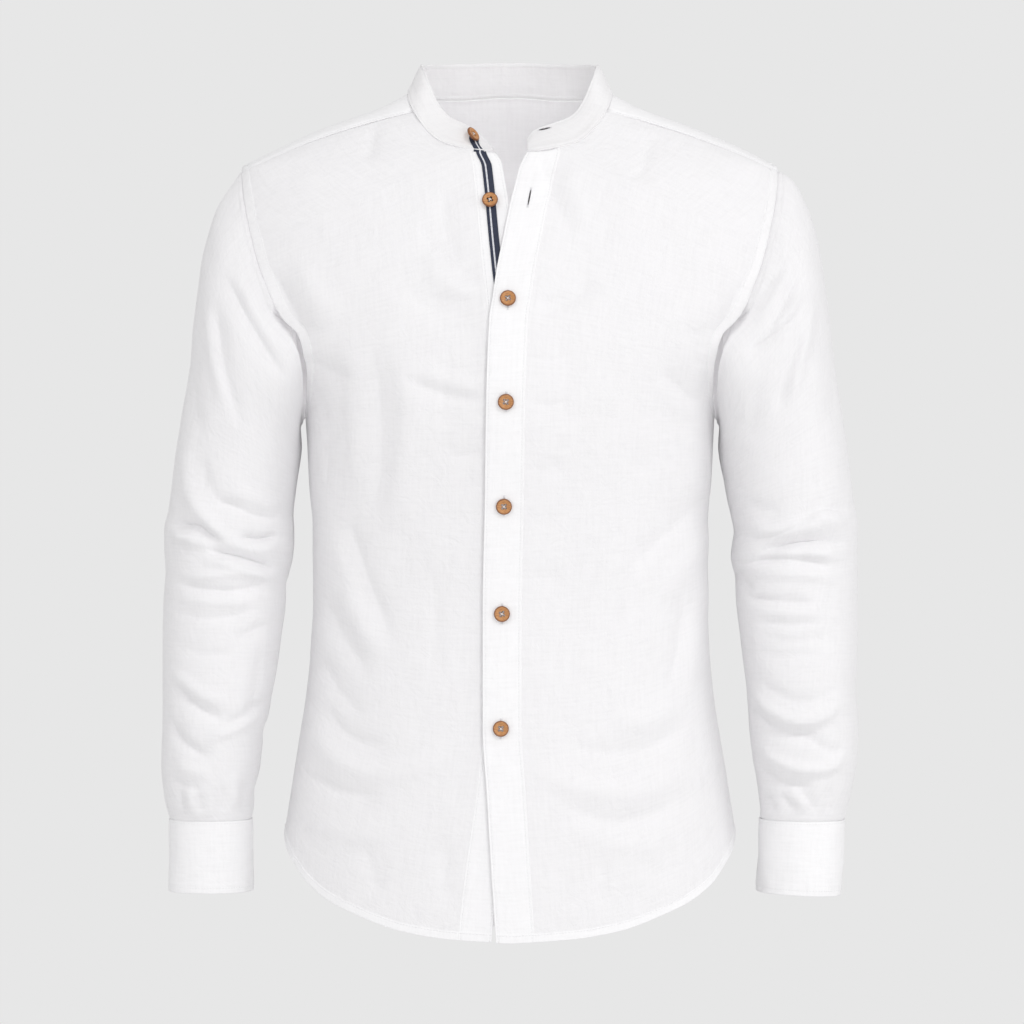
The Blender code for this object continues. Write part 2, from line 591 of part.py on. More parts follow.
def collar_grid(columns=COLLAR_COLUMNS, rows=COLLAR_ROWS, out=0.0):
    """The collar's middle surface from its seam up, or a surface that far outside it."""
    path = neck_path(columns + 1)
    steps = np.gradient(path, axis=0)
    length = np.linalg.norm(np.diff(path, axis=0), axis=1).sum()
    corners = {end: smooth_table(COLLAR_CORNERS, "along", end) for end in ("right", "left")}
    lean_at = smooth_table(COLLAR_LEAN, "round", "lean")
    seam_at = smooth_table(COLLAR_LEAN, "round", "seam")
    grid = np.zeros((rows + 1, columns + 1, 3))
    for j in range(columns + 1):
        share = j / columns
        along = {"right": share * length, "left": (1.0 - share) * length}
        height = min(corners[end](along[end]) for end in along)
        level = steps[j] * np.array([1.0, 1.0, 0.0])
        level /= np.linalg.norm(level)
        inward = np.array([level[1], -level[0], 0.0])
        round_to = 1.0 - abs(2.0 * share - 1.0)
        lean = math.radians(lean_at(round_to))
        rise = np.array([0.0, 0.0, math.cos(lean)]) + inward * math.sin(lean)
        curl = sum(COLLAR_CURL[end] * max(1.0 - along[end] / CURL_REACH, 0.0) ** 2 for end in along)
        for i in range(rows + 1):
            up = i / rows
            bow = COLLAR_BOW * math.sin(math.pi * up)
            foot = path[j] + rise * (seam_at(round_to) + height * up)
            grid[i, j] = foot - inward * (bow + out) + inward * curl * lerp(FOOT_CURL, 1.0, up)
    return grid


def collar_patch(alongs, ups, out):
    """A patch outside the collar: distances from its end on the wearer's right, and shares of its height."""
    fine = collar_grid(PATCH_COLUMNS, PATCH_ROWS, out)
    foot = np.concatenate([[0.0], np.cumsum(np.linalg.norm(np.diff(fine[0], axis=0), axis=1))])
    grid = np.zeros((len(ups), len(alongs), 3))
    for i, up in enumerate(ups):
        row = fine[round(up * PATCH_ROWS)]
        for j, along in enumerate(alongs):
            grid[i, j] = [np.interp(along, foot, row[:, k]) for k in range(3)]
    return grid


# ---- sleeves and cuffs ------------------------------------------------------------------------------
SLEEVE_SECTIONS = 30
SLEEVE_POINTS = 24
ARMHOLE_SAMPLES = 240
SLEEVE_HEAD = 0.34  # share of the sleeve over which its sections turn from the armhole's shape to their own
SLEEVE_START = 0.0012  # gap between the armhole's edge and the sleeve's first section
SLEEVE_LEAVE = 0.08  # the sleeve leaves the armhole towards its section this share of the way down
UNDERARM_CLEAR = 0.0020
FOLDS_BEGIN = 0.12  # share of the sleeve over which its folds rise to their full height
BACK_FOLDS = 0.35  # height of the folds behind, as a share of those in front
SLEEVE_SQUARENESS = 2.15
CUFF_POINTS = 30
CUFF_ROWS = 4
CUFF_START = math.radians(-78.0)
CUFF_TURN = math.radians(392.0)
CUFF_LAP = 0.0023  # the outer end of a cuff lies this much further out than its inner end
SLEEVE_TABLES = {-1: SLEEVE_RIGHT, 1: SLEEVE_LEFT}
CUFF_TABLES = {-1: CUFF_RIGHT, 1: CUFF_LEFT}
# Large folds on the sleeves, seen from the front: ends, height (a trough is negative) and half width.
SLEEVE_FOLDS = {
    -1: {
        "x": (0.260, 0.298, 0.262, 0.286, 0.295, 0.212, 0.290, 0.250),
        "z": (-0.165, -0.366, -0.388, -0.415, -0.497, -0.520, -0.556, -0.137),
        "end_x": (0.237, 0.250, 0.202, 0.212, 0.243, 0.252, 0.262, 0.206),
        "end_z": (-0.288, -0.383, -0.404, -0.420, -0.536, -0.551, -0.570, -0.235),
        "height": (-0.0030, -0.0045, -0.0050, 0.0035, -0.0040, -0.0040, -0.0040, -0.0035),
        "width": (0.012, 0.009, 0.009, 0.009, 0.010, 0.010, 0.010, 0.012),
    },
    1: {
        "x": (0.264, 0.292, 0.294, 0.206, 0.208, 0.216, 0.246, 0.250),
        "z": (-0.172, -0.348, -0.384, -0.394, -0.512, -0.562, -0.550, -0.150),
        "end_x": (0.245, 0.250, 0.215, 0.262, 0.290, 0.292, 0.292, 0.214),
        "end_z": (-0.275, -0.366, -0.390, -0.396, -0.520, -0.570, -0.556, -0.215),
        "height": (-0.0030, -0.0040, -0.0050, -0.0040, 0.0045, 0.0040, -0.0040, -0.0035),
        "width": (0.012, 0.009, 0.009, 0.009, 0.010, 0.010, 0.010, 0.012),
    },
}


def armhole_curve(count):
    """The armhole from the shoulder down the front to the underarm and up the back, on the wearer's left."""
    levels = [lerp(ARMHOLE_TOP, UNDERARM, i / 120) for i in range(121)]
    ridge = (SHOULDER["x"][-1], 0.0, SHOULDER["z"][-1])
    arcs = []
    for face in ("front", "back"):
        arc = [ridge] + [torso_point(ARMHOLE_REACH[face](z), z, face) for z in levels]
        arcs.append(resample(arc, count // 2 + 1))
    return np.concatenate([arcs[0][:-1], arcs[1][:0:-1]])


def section(columns, share, angle):
    """A point of a tube's section, and the section's centre, for the wearer's left side."""
    outer = np.array([columns["outer_x"](share), 0.0, columns["outer_z"](share)])
    inner = np.array([columns["inner_x"](share), 0.0, columns["inner_z"](share)])
    front = columns["front_y"](share)
    back = columns["back_y"](share)
    centre = (outer + inner) / 2.0 + np.array([0.0, (front + back) / 2.0, 0.0])
    power = 2.0 / SLEEVE_SQUARENESS
    across = math.copysign(abs(math.cos(angle)) ** power, math.cos(angle))
    ahead = math.copysign(abs(math.sin(angle)) ** power, math.sin(angle))
    return centre + (outer - inner) / 2.0 * across + np.array([0.0, (front - back) / 2.0 * ahead, 0.0]), centre


def fold_height(folds, x, z):
    """The height of all folds at a place seen from the front: each fades at its ends and to its sides."""
    total = 0.0
    for k in range(len(folds["x"])):
        start = np.array([folds["x"][k], folds["z"][k]])
        run = np.array([folds["end_x"][k], folds["end_z"][k]]) - start
        length = np.linalg.norm(run)
        offset = np.array([x, z]) - start
        along = float(offset @ run) / length**2
        aside = abs(offset[0] * run[1] - offset[1] * run[0]) / length
        ends = ease((along + 0.15) / 0.3) * ease((1.15 - along) / 0.3)
        total += folds["height"][k] * ends * math.exp(-((aside / folds["width"][k]) ** 2))
    return total


def sleeve_surface(side, shares, angles, out=0.0):
    """The sleeve's middle surface, or one that far outside it: a row per share of the way down."""
    columns = row_table(SLEEVE_TABLES[side])
    folds = SLEEVE_FOLDS[side]
    curve = armhole_curve(ARMHOLE_SAMPLES)
    grid = np.zeros((len(shares), len(angles), 3))
    for j, angle in enumerate(angles):
        spot = (angle / (2.0 * math.pi)) % 1.0 * ARMHOLE_SAMPLES
        arm = lerp(curve[int(spot)], curve[(int(spot) + 1) % ARMHOLE_SAMPLES], spot - int(spot))
        first, _ = section(columns, 0.0, angle)
        ahead, _ = section(columns, SLEEVE_LEAVE, angle)
        leave = (ahead - arm) / np.linalg.norm(ahead - arm) * SLEEVE_START
        leave = leave + np.array([UNDERARM_CLEAR * max(-math.cos(angle), 0.0) ** 2, 0.0, 0.0])
        for i, share in enumerate(shares):
            point, centre = section(columns, share, angle)
            point = point + (arm + leave - first) * (1.0 - ease(share / SLEEVE_HEAD))
            away = (point - centre) / np.linalg.norm(point - centre)
            rounding = ease(share / FOLDS_BEGIN) * ease(2.0 * max(-away[1], BACK_FOLDS * away[1]))
            height = fold_height(folds, point[0], point[2]) * rounding
            grid[i, j] = point + away * (height + out)
    return grid * np.array([side, 1.0, 1.0])


def cuff_surface(side, shares, angles, out=0.0):
    """A cuff's middle surface as a strip that laps over its own start."""
    columns = row_table(CUFF_TABLES[side])
    grid = np.zeros((len(shares), len(angles), 3))
    for i, share in enumerate(shares):
        for j, angle in enumerate(angles):
            point, centre = section(columns, share, angle)
            away = (point - centre) / np.linalg.norm(point - centre)
            grid[i, j] = point + away * (out + CUFF_LAP * (angle - CUFF_START) / CUFF_TURN)
    return grid * np.array([side, 1.0, 1.0])


def spread(start, end, count):
    return [lerp(start, end, i / count) for i in range(count + 1)]


# ---- buttons ----------------------------------------------------------------------------------------
def button_mesh(radius, thickness):
    """A blank button about its own axis, with a rim and a dished middle."""
    profile = ((0.0, 0.75), (0.62, 0.75), (0.76, 1.0), (0.94, 0.95), (1.0, 0.5), (0.9, 0.0), (0.0, 0.0))
    sides = 12
    mesh = bmesh.new()
    rings = []
    for reach, level in profile:
        if reach == 0.0:
            rings.append([mesh.verts.new((0.0, 0.0, level * thickness))] * sides)
        else:
            rings.append([mesh.verts.new((reach * radius * math.cos(2 * math.pi * k / sides),
                                          reach * radius * math.sin(2 * math.pi * k / sides),
                                          level * thickness)) for k in range(sides)])
    for upper, lower in zip(rings, rings[1:]):
        for k in range(sides):
            corners = [upper[k], upper[(k + 1) % sides], lower[(k + 1) % sides], lower[k]]
            mesh.faces.new(list(dict.fromkeys(corners)))
    return mesh


def hole_cutter(radius, thickness):
    """The four holes of a button of this radius, as one hidden cutter."""
    mesh = bmesh.new()
    for k in range(4):
        angle = math.radians(45.0 + 90.0 * k)
        place = bmesh.ops.create_cone(mesh, cap_ends=True, segments=5, radius1=0.13 * radius,
                                      radius2=0.13 * radius, depth=3.0 * thickness)
        bmesh.ops.translate(mesh, verts=place["verts"],
                            vec=(0.27 * radius * math.cos(angle), 0.27 * radius * math.sin(angle), 0.0))
    made = add_object(f"hole_cutter_{round(radius * 1e5)}", mesh, WOODEN)
    made.hide_render = True
    made.display_type = "WIRE"
    return made


def frame_at(point, normal):
    """A matrix at the point whose Z axis is the normal."""
    turn = Vector(normal).to_track_quat("Z", "Y").to_matrix().to_4x4()
    return Matrix.Translation(Vector(point)) @ turn


# ---- assembly ---------------------------------------------------------------------------------------
# Front buttons from the top: height, and distance of the centre from the wearer's centre line.
FRONT_BUTTONS = {
    "z": (-0.1758, -0.2618, -0.3490, -0.4398, -0.5362),
    "x": (-0.0017, -0.0034, -0.0050, -0.0067, -0.0076),
}
BUTTON_CLEAR = 0.0006  # under a button's flat back, on the curve of the chest
BAND_BUTTON = (-0.0169, -0.0908)
COLLAR_BUTTON = (0.0195, 0.55)  # distance from the collar's end on the wearer's right, share of its height
RIBBON_FOOT = -0.200
COLLAR_RIBBON = (0.0125, 0.0210)  # its edges, from the same end
CUFF_BUTTON_TURN = math.radians(-62.0)
SLIT_TURN = math.radians(-60.0)
SLIT_HALF = math.radians(15.0)
SLIT_SECTIONS = 7  # the slit runs up over this many of the sleeve's sections


def ribbon_edge(z):
    return SEAM_OF_BAND(z) + (BAND_WIDTH - RIBBON_WIDTH) / 2.0


def add_button(name, mesh, place, normal):
    made = bpy.data.objects.new(name, mesh)
    made.matrix_world = frame_at(place, normal)
    bpy.context.scene.collection.objects.link(made)


def finished_button(radius):
    """The mesh of a button of this radius with its holes cut."""
    blank = add_object(f"button_blank_{round(radius * 1e5)}", button_mesh(radius, BUTTON_THICK), WOODEN)
    cutter = hole_cutter(radius, BUTTON_THICK)
    cut = blank.modifiers.new("holes", "BOOLEAN")
    cut.operation = "DIFFERENCE"
    cut.object = cutter
    cut.solver = "EXACT"
    bpy.context.view_layer.update()
    mesh = bpy.data.meshes.new_from_object(blank.evaluated_get(bpy.context.evaluated_depsgraph_get()))
    bpy.data.objects.remove(blank)
    bpy.data.objects.remove(cutter)
    return mesh


def build_torso():
    add_wall("front_left", front_panel(1.0), CLOTH, COTTON, on_torso=True)
    add_wall("front_right", front_panel(-1.0), CLOTH, COTTON, on_torso=True)
    add_wall("back", back_panel(), CLOTH, COTTON, on_torso=True)
    add_wall("yoke", yoke(), CLOTH, COTTON, on_torso=True)


def build_front_strips():
    band = front_strip(-1.0, SEAM_OF_BAND, BAND_WIDTH)
    add_wall("button_band", trim(band, ("first_column", "last_row")), FOLDED, COTTON, on_torso=True)
    placket = raise_grid(front_strip(1.0, EDGE_OF_PLACKET, PLACKET_WIDTH), PLACKET_LIFT)
    add_wall("placket", trim(placket, ("last_column", "last_row")), FOLDED, COTTON, on_torso=True)
    ribbon = front_strip(-1.0, ribbon_edge, RIBBON_WIDTH, columns=1, bottom=RIBBON_FOOT)
    height = FOLDED / 2.0 + SEAM_GAP + RIBBON_WALL / 2.0
    add_wall("ribbon", raise_grid(ribbon, height), RIBBON_WALL, TWILL, on_torso=True)


def build_collar():
    add_wall("collar", collar_grid(), FOLDED, COTTON)
    over = FOLDED / 2.0 + SEAM_GAP + RIBBON_WALL / 2.0 + BUTTON_CLEAR
    edges = spread(*COLLAR_RIBBON, 2)
    ribbon = collar_patch(edges, (0.10, 0.25, 0.40, 0.55, 0.65), over)
    add_wall("collar_ribbon", ribbon, RIBBON_WALL, TWILL)


def build_sleeves():
    around = [2.0 * math.pi * j / SLEEVE_POINTS for j in range(SLEEVE_POINTS)]
    slit = spread(SLIT_TURN - SLIT_HALF, SLIT_TURN + SLIT_HALF, 2)
    sections = spread(0.0, 1.0, SLEEVE_SECTIONS)
    over = CLOTH + SEAM_GAP
    for side, name in ((-1, "right"), (1, "left")):
        add_wall(f"sleeve_{name}", sleeve_surface(side, sections, around), CLOTH, COTTON, closed=True)
        strip = sleeve_surface(side, sections[-SLIT_SECTIONS - 1:], slit, over)
        add_wall(f"sleeve_placket_{name}", trim(strip, ("last_row",)), CLOTH, COTTON)
        turns = spread(CUFF_START, CUFF_START + CUFF_TURN, CUFF_POINTS)
        add_wall(f"cuff_{name}", cuff_surface(side, spread(0.0, 1.0, CUFF_ROWS), turns), FOLDED, COTTON)


def build_buttons():
    mesh = finished_button(BUTTON_RADIUS)
    seat = FOLDED / 2.0 + BUTTON_CLEAR
    for k, (z, x) in enumerate(zip(FRONT_BUTTONS["z"], FRONT_BUTTONS["x"])):
        foot = np.array(torso_point(x, z, "front"))
        normal = torso_normal(foot)
        place = foot + normal * (PLACKET_LIFT + seat)
        add_button(f"button_{k + 3}", mesh, place, normal)
    foot = np.array(torso_point(*BAND_BUTTON, "front"))
    normal = torso_normal(foot)
    place = foot + normal * (seat + RIBBON_WALL + SEAM_GAP)
    add_button("button_2", mesh, place, normal)
    along, up = COLLAR_BUTTON
    patch = collar_patch((along - 0.004, along + 0.004), (up - 0.15, up + 0.15), 0.0)
    normal = np.cross(patch[1, 0] - patch[0, 0], patch[0, 1] - patch[0, 0])
    normal /= np.linalg.norm(normal)
    seat_out = FOLDED / 2.0 + 1.5 * BUTTON_CLEAR + RIBBON_WALL + SEAM_GAP
    add_button("button_1", mesh, patch.mean(axis=(0, 1)) + normal * seat_out, normal)
    small = finished_button(CUFF_BUTTON_RADIUS)
    for side, name in ((-1, "right"), (1, "left")):
        angle = CUFF_BUTTON_TURN + 2.0 * math.pi
        patch = cuff_surface(side, (0.45, 0.55), (angle - 0.05, angle + 0.05))
        middle = patch.mean(axis=(0, 1))
        normal = np.cross(patch[1, 0] - patch[0, 0], patch[0, 1] - patch[0, 0])
        across = cuff_surface(side, (0.5,), (angle - math.pi,))[0, 0]
        normal *= np.sign(normal @ (middle - across)) / np.linalg.norm(normal)
        add_button(f"cuff_button_{name}", small, middle + normal * seat, normal)


for old in list(bpy.data.objects):
    bpy.data.objects.remove(old)
build_torso()
build_front_strips()
build_collar()
build_sleeves()
build_buttons()
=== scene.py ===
"""The looks of the mandarin collar shirt: thin cloth shells with seams, stitches and buttons.

Metres, in the frame of the CAD part: +Z up, +X towards the wearer's left, -Y towards the front. Tables of
folds are in millimetres on the picture plane, as the camera sees them at y = 0.
"""

import math

import bmesh
import bpy
import numpy as np
from mathutils import Matrix, Vector


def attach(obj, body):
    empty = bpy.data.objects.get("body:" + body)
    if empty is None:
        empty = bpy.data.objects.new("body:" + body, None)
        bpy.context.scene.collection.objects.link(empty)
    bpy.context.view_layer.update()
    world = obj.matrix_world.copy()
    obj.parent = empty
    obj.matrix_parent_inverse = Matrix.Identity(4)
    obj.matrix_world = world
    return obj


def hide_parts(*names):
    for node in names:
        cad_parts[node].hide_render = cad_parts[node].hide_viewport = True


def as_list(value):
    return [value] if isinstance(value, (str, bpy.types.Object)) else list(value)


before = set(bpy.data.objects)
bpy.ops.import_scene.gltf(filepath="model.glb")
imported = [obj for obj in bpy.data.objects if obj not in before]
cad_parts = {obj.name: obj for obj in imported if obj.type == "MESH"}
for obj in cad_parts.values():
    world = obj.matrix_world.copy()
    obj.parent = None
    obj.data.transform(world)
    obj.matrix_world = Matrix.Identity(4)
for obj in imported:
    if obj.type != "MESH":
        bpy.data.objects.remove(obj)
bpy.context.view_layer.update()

# ---- sizes shared with the solids -------------------------------------------------------------------
FOLDED = 0.0016  # wall of collar, cuffs, placket and button band
RIBBON_WALL = 0.0010
SEAM_GAP = 0.0003
SQUARENESS = 2.3
PLACKET_WIDTH = 0.0325
BAND_WIDTH = 0.0285
RIBBON_WIDTH = 0.0085
COLLAR_HEIGHT = 0.0300
UNDERARM = -0.274
SIDE_HEM = -0.632
BUTTON_RADIUS = 0.0067
BUTTON_THICK = 0.0024
CUFF_BUTTON_RADIUS = 0.0055
PLACKET_LIFT = FOLDED + RIBBON_WALL + 3 * SEAM_GAP
LIFT_REACH = 0.045
# Torso, a row per level: z, half width, depth in front of and behind the side seams.
# Above the underarm the half width is that of the shape under the sleeve head and shoulder.
TORSO = {
    "z": (-0.740, -0.640, -0.575, -0.518, -0.474, -0.431, -0.368, -0.326, -0.274, -0.250, -0.220, -0.190,
          -0.157, -0.110, -0.080, -0.055),
    "half_width": (0.2090, 0.1965, 0.1865, 0.1775, 0.1730, 0.1708, 0.1710, 0.1746, 0.1775, 0.1830, 0.2080,
                   0.2340, 0.2480, 0.2480, 0.2400, 0.2320),
    "front": (0.1200, 0.1170, 0.1135, 0.1095, 0.1070, 0.1055, 0.1080, 0.1120, 0.1180, 0.1185, 0.1160,
              0.1120, 0.1050, 0.0900, 0.0790, 0.0670),
    "back": (0.1260, 0.1220, 0.1150, 0.1070, 0.1020, 0.0990, 0.1010, 0.1060, 0.1140, 0.1165, 0.1185,
             0.1190, 0.1180, 0.1120, 0.1040, 0.0940),
}
# Shoulder line seen from the front: distance from the centre and height.
SHOULDER = {
    "x": (0.000, 0.060, 0.088, 0.110, 0.160, 0.210, 0.232),
    "z": (0.046, 0.026, 0.009, -0.003, -0.021, -0.0435, -0.0555),
}
# Front yoke seam seen from the front.
FRONT_SEAM = {
    "x": (0.0826, 0.1100, 0.1600, 0.2100, 0.2313),
    "z": (-0.0084, -0.0150, -0.0300, -0.0500, -0.0605),
}
BACK_SEAM_CENTRE = -0.088
BACK_SEAM_FALL = 0.017  # the back yoke seam falls this much on its way to the armholes
# Depths above the shoulder points, towards the neck.
SHOULDER_DEPTH = {
    "z": (-0.055, -0.040, -0.020, 0.000, 0.015, 0.046),
    "front": (0.0670, 0.0590, 0.0500, 0.0430, 0.0380, 0.0300),
    "back": (0.0940, 0.0870, 0.0740, 0.0620, 0.0560, 0.0450),
}
# Armhole edges: height and distance from the centre, front and back.
ARMHOLE = {
    "z": (-0.274, -0.255, -0.235, -0.2165, -0.2035, -0.191, -0.176, -0.157, -0.137, -0.112, -0.080, -0.058),
    "front": (0.1775, 0.1740, 0.1735, 0.1760, 0.1820, 0.1935, 0.2025, 0.2095, 0.2160, 0.2225, 0.2290,
              0.2315),
    "back": (0.1775, 0.1800, 0.1850, 0.1910, 0.1960, 0.2010, 0.2065, 0.2120, 0.2170, 0.2225, 0.2285, 0.2315),
}
# Neck seam seen from above, from the centre front round to the centre back.
NECK = {
    "x": (0.0000, 0.0273, 0.0548, 0.0700, 0.0815, 0.0862, 0.0874, 0.0862, 0.0790, 0.0630, 0.0420, 0.0210,
          0.0000),
    "y": (-0.0628, -0.0622, -0.0580, -0.0515, -0.0405, -0.0250, -0.0040, 0.0170, 0.0320, 0.0450, 0.0530,
          0.0562, 0.0570),
}
# Shirt-tail hem: share of the half width and height, front and back.
HEM = {
    "share": (0.00, 0.27, 0.45, 0.55, 0.63, 0.75, 0.85, 0.92, 0.97, 1.00),
    "front": (-0.7155, -0.7120, -0.7060, -0.7000, -0.6940, -0.6840, -0.6710, -0.6565, -0.6440, SIDE_HEM),
    "back": (-0.7290, -0.7255, -0.7185, -0.7115, -0.7045, -0.6925, -0.6775, -0.6610, -0.6460, SIDE_HEM),
}
# Placket's outer edge (towards the wearer's right) and the band's seam, down the front.
PLACKET_EDGE = {
    "z": (-0.0478, -0.0621, -0.0798, -0.1001, -0.1244, -0.1485, -0.1724, -0.1928, -0.2618, -0.3490,
          -0.4398, -0.5345, -0.5906, -0.6783, -0.7159),
    "x": (0.0100, 0.0064, 0.0026, -0.0017, -0.0062, -0.0109, -0.0145, -0.0175, -0.0200, -0.0212, -0.0229,
          -0.0229, -0.0195, -0.0142, -0.0115),
}
BAND_SEAM = {
    "z": (-0.0478, -0.0568, -0.0816, -0.1122, -0.1545, -0.1724, -0.2618, -0.3490, -0.4398, -0.5345,
          -0.5906, -0.6833, -0.7125),
    "x": (-0.0341, -0.0326, -0.0297, -0.0270, -0.0227, -0.0205, -0.0176, -0.0185, -0.0202, -0.0218,
          -0.0285, -0.0410, -0.0436),
}


# Sleeves, a row per section: the outermost and innermost points seen from the front, and the section's
# foremost and rearmost depth.
SLEEVE_RIGHT = {
    "outer_x": (0.2315, 0.2401, 0.2540, 0.2614, 0.2671, 0.2706, 0.2740, 0.2767, 0.2805, 0.2850, 0.2895,
                0.2945, 0.2965, 0.3000, 0.2998, 0.2984, 0.3000, 0.3005, 0.3005, 0.3008, 0.3015, 0.3022,
                0.3000, 0.2955),
    "outer_z": (-0.0580, -0.0704, -0.0921, -0.1139, -0.1365, -0.1626, -0.1880, -0.2131, -0.2400, -0.2680,
                -0.3000, -0.3392, -0.3530, -0.3690, -0.3850, -0.4062, -0.4300, -0.4560, -0.4850, -0.5150,
                -0.5454, -0.5720, -0.5960, -0.6178),
    "inner_x": (0.1775, 0.1800, 0.1803, 0.1806, 0.1808, 0.1810, 0.1812, 0.1818, 0.1830, 0.1850, 0.1870,
                0.1889, 0.1882, 0.1880, 0.1892, 0.1930, 0.1948, 0.1980, 0.2016, 0.2066, 0.2123, 0.2160,
                0.2195, 0.2222),
    "inner_z": (-0.2740, -0.2790, -0.2830, -0.2870, -0.2905, -0.2940, -0.2980, -0.3030, -0.3120, -0.3240,
                -0.3390, -0.3560, -0.3680, -0.3800, -0.3940, -0.4120, -0.4330, -0.4580, -0.4860, -0.5155,
                -0.5454, -0.5720, -0.5960, -0.6178),
    "front_y": (-0.0700, -0.0760, -0.0810, -0.0830, -0.0835, -0.0830, -0.0815, -0.0800, -0.0780, -0.0755,
                -0.0730, -0.0705, -0.0700, -0.0695, -0.0690, -0.0690, -0.0695, -0.0700, -0.0705, -0.0710,
                -0.0705, -0.0690, -0.0660, -0.0600),
    "back_y": (0.0720, 0.0790, 0.0840, 0.0865, 0.0875, 0.0870, 0.0855, 0.0835, 0.0810, 0.0775, 0.0735,
               0.0690, 0.0670, 0.0650, 0.0625, 0.0590, 0.0555, 0.0515, 0.0475, 0.0430, 0.0380, 0.0330,
               0.0265, 0.0170),
}
SLEEVE_LEFT = {
    "outer_x": (0.2315, 0.2445, 0.2558, 0.2630, 0.2688, 0.2732, 0.2765, 0.2793, 0.2835, 0.2875, 0.2925,
                0.2970, 0.2990, 0.3019, 0.3012, 0.3010, 0.3010, 0.3010, 0.3008, 0.2995, 0.3023, 0.3010,
                0.2968, 0.2910),
    "outer_z": (-0.0580, -0.0678, -0.0878, -0.1060, -0.1295, -0.1600, -0.1820, -0.2026, -0.2330, -0.2640,
                -0.2990, -0.3360, -0.3500, -0.3660, -0.3850, -0.4080, -0.4320, -0.4580, -0.4840, -0.5060,
                -0.5380, -0.5660, -0.5920, -0.6178),
    "inner_x": (0.1775, 0.1800, 0.1803, 0.1806, 0.1808, 0.1811, 0.1815, 0.1822, 0.1838, 0.1866, 0.1892,
                0.1930, 0.1952, 0.1935, 0.1923, 0.1955, 0.1966, 0.1992, 0.2020, 0.2048, 0.2066, 0.2095,
                0.2133, 0.2160),
    "inner_z": (-0.2740, -0.2790, -0.2830, -0.2870, -0.2905, -0.2940, -0.2980, -0.3030, -0.3130, -0.3260,
                -0.3420, -0.3590, -0.3710, -0.3820, -0.3930, -0.4110, -0.4330, -0.4580, -0.4840, -0.5080,
                -0.5390, -0.5660, -0.5920, -0.6178),
    "front_y": SLEEVE_RIGHT["front_y"],
    "back_y": SLEEVE_RIGHT["back_y"],
}
# Cuffs: the same columns, at the top and bottom edges.
CUFF_RIGHT = {
    "outer_x": (0.2945, 0.2947),
    "outer_z": (-0.6185, -0.6803),
    "inner_x": (0.2229, 0.2220),
    "inner_z": (-0.6185, -0.6803),
    "front_y": (-0.0580, -0.0585),
    "back_y": (0.0150, 0.0145),
}
CUFF_LEFT = {
    "outer_x": (0.2896, 0.2862),
    "outer_z": (-0.6190, -0.6840),
    "inner_x": (0.2165, 0.2134),
    "inner_z": (-0.6185, -0.6807),
    "front_y": (-0.0580, -0.0585),
    "back_y": (0.0150, 0.0145),
}


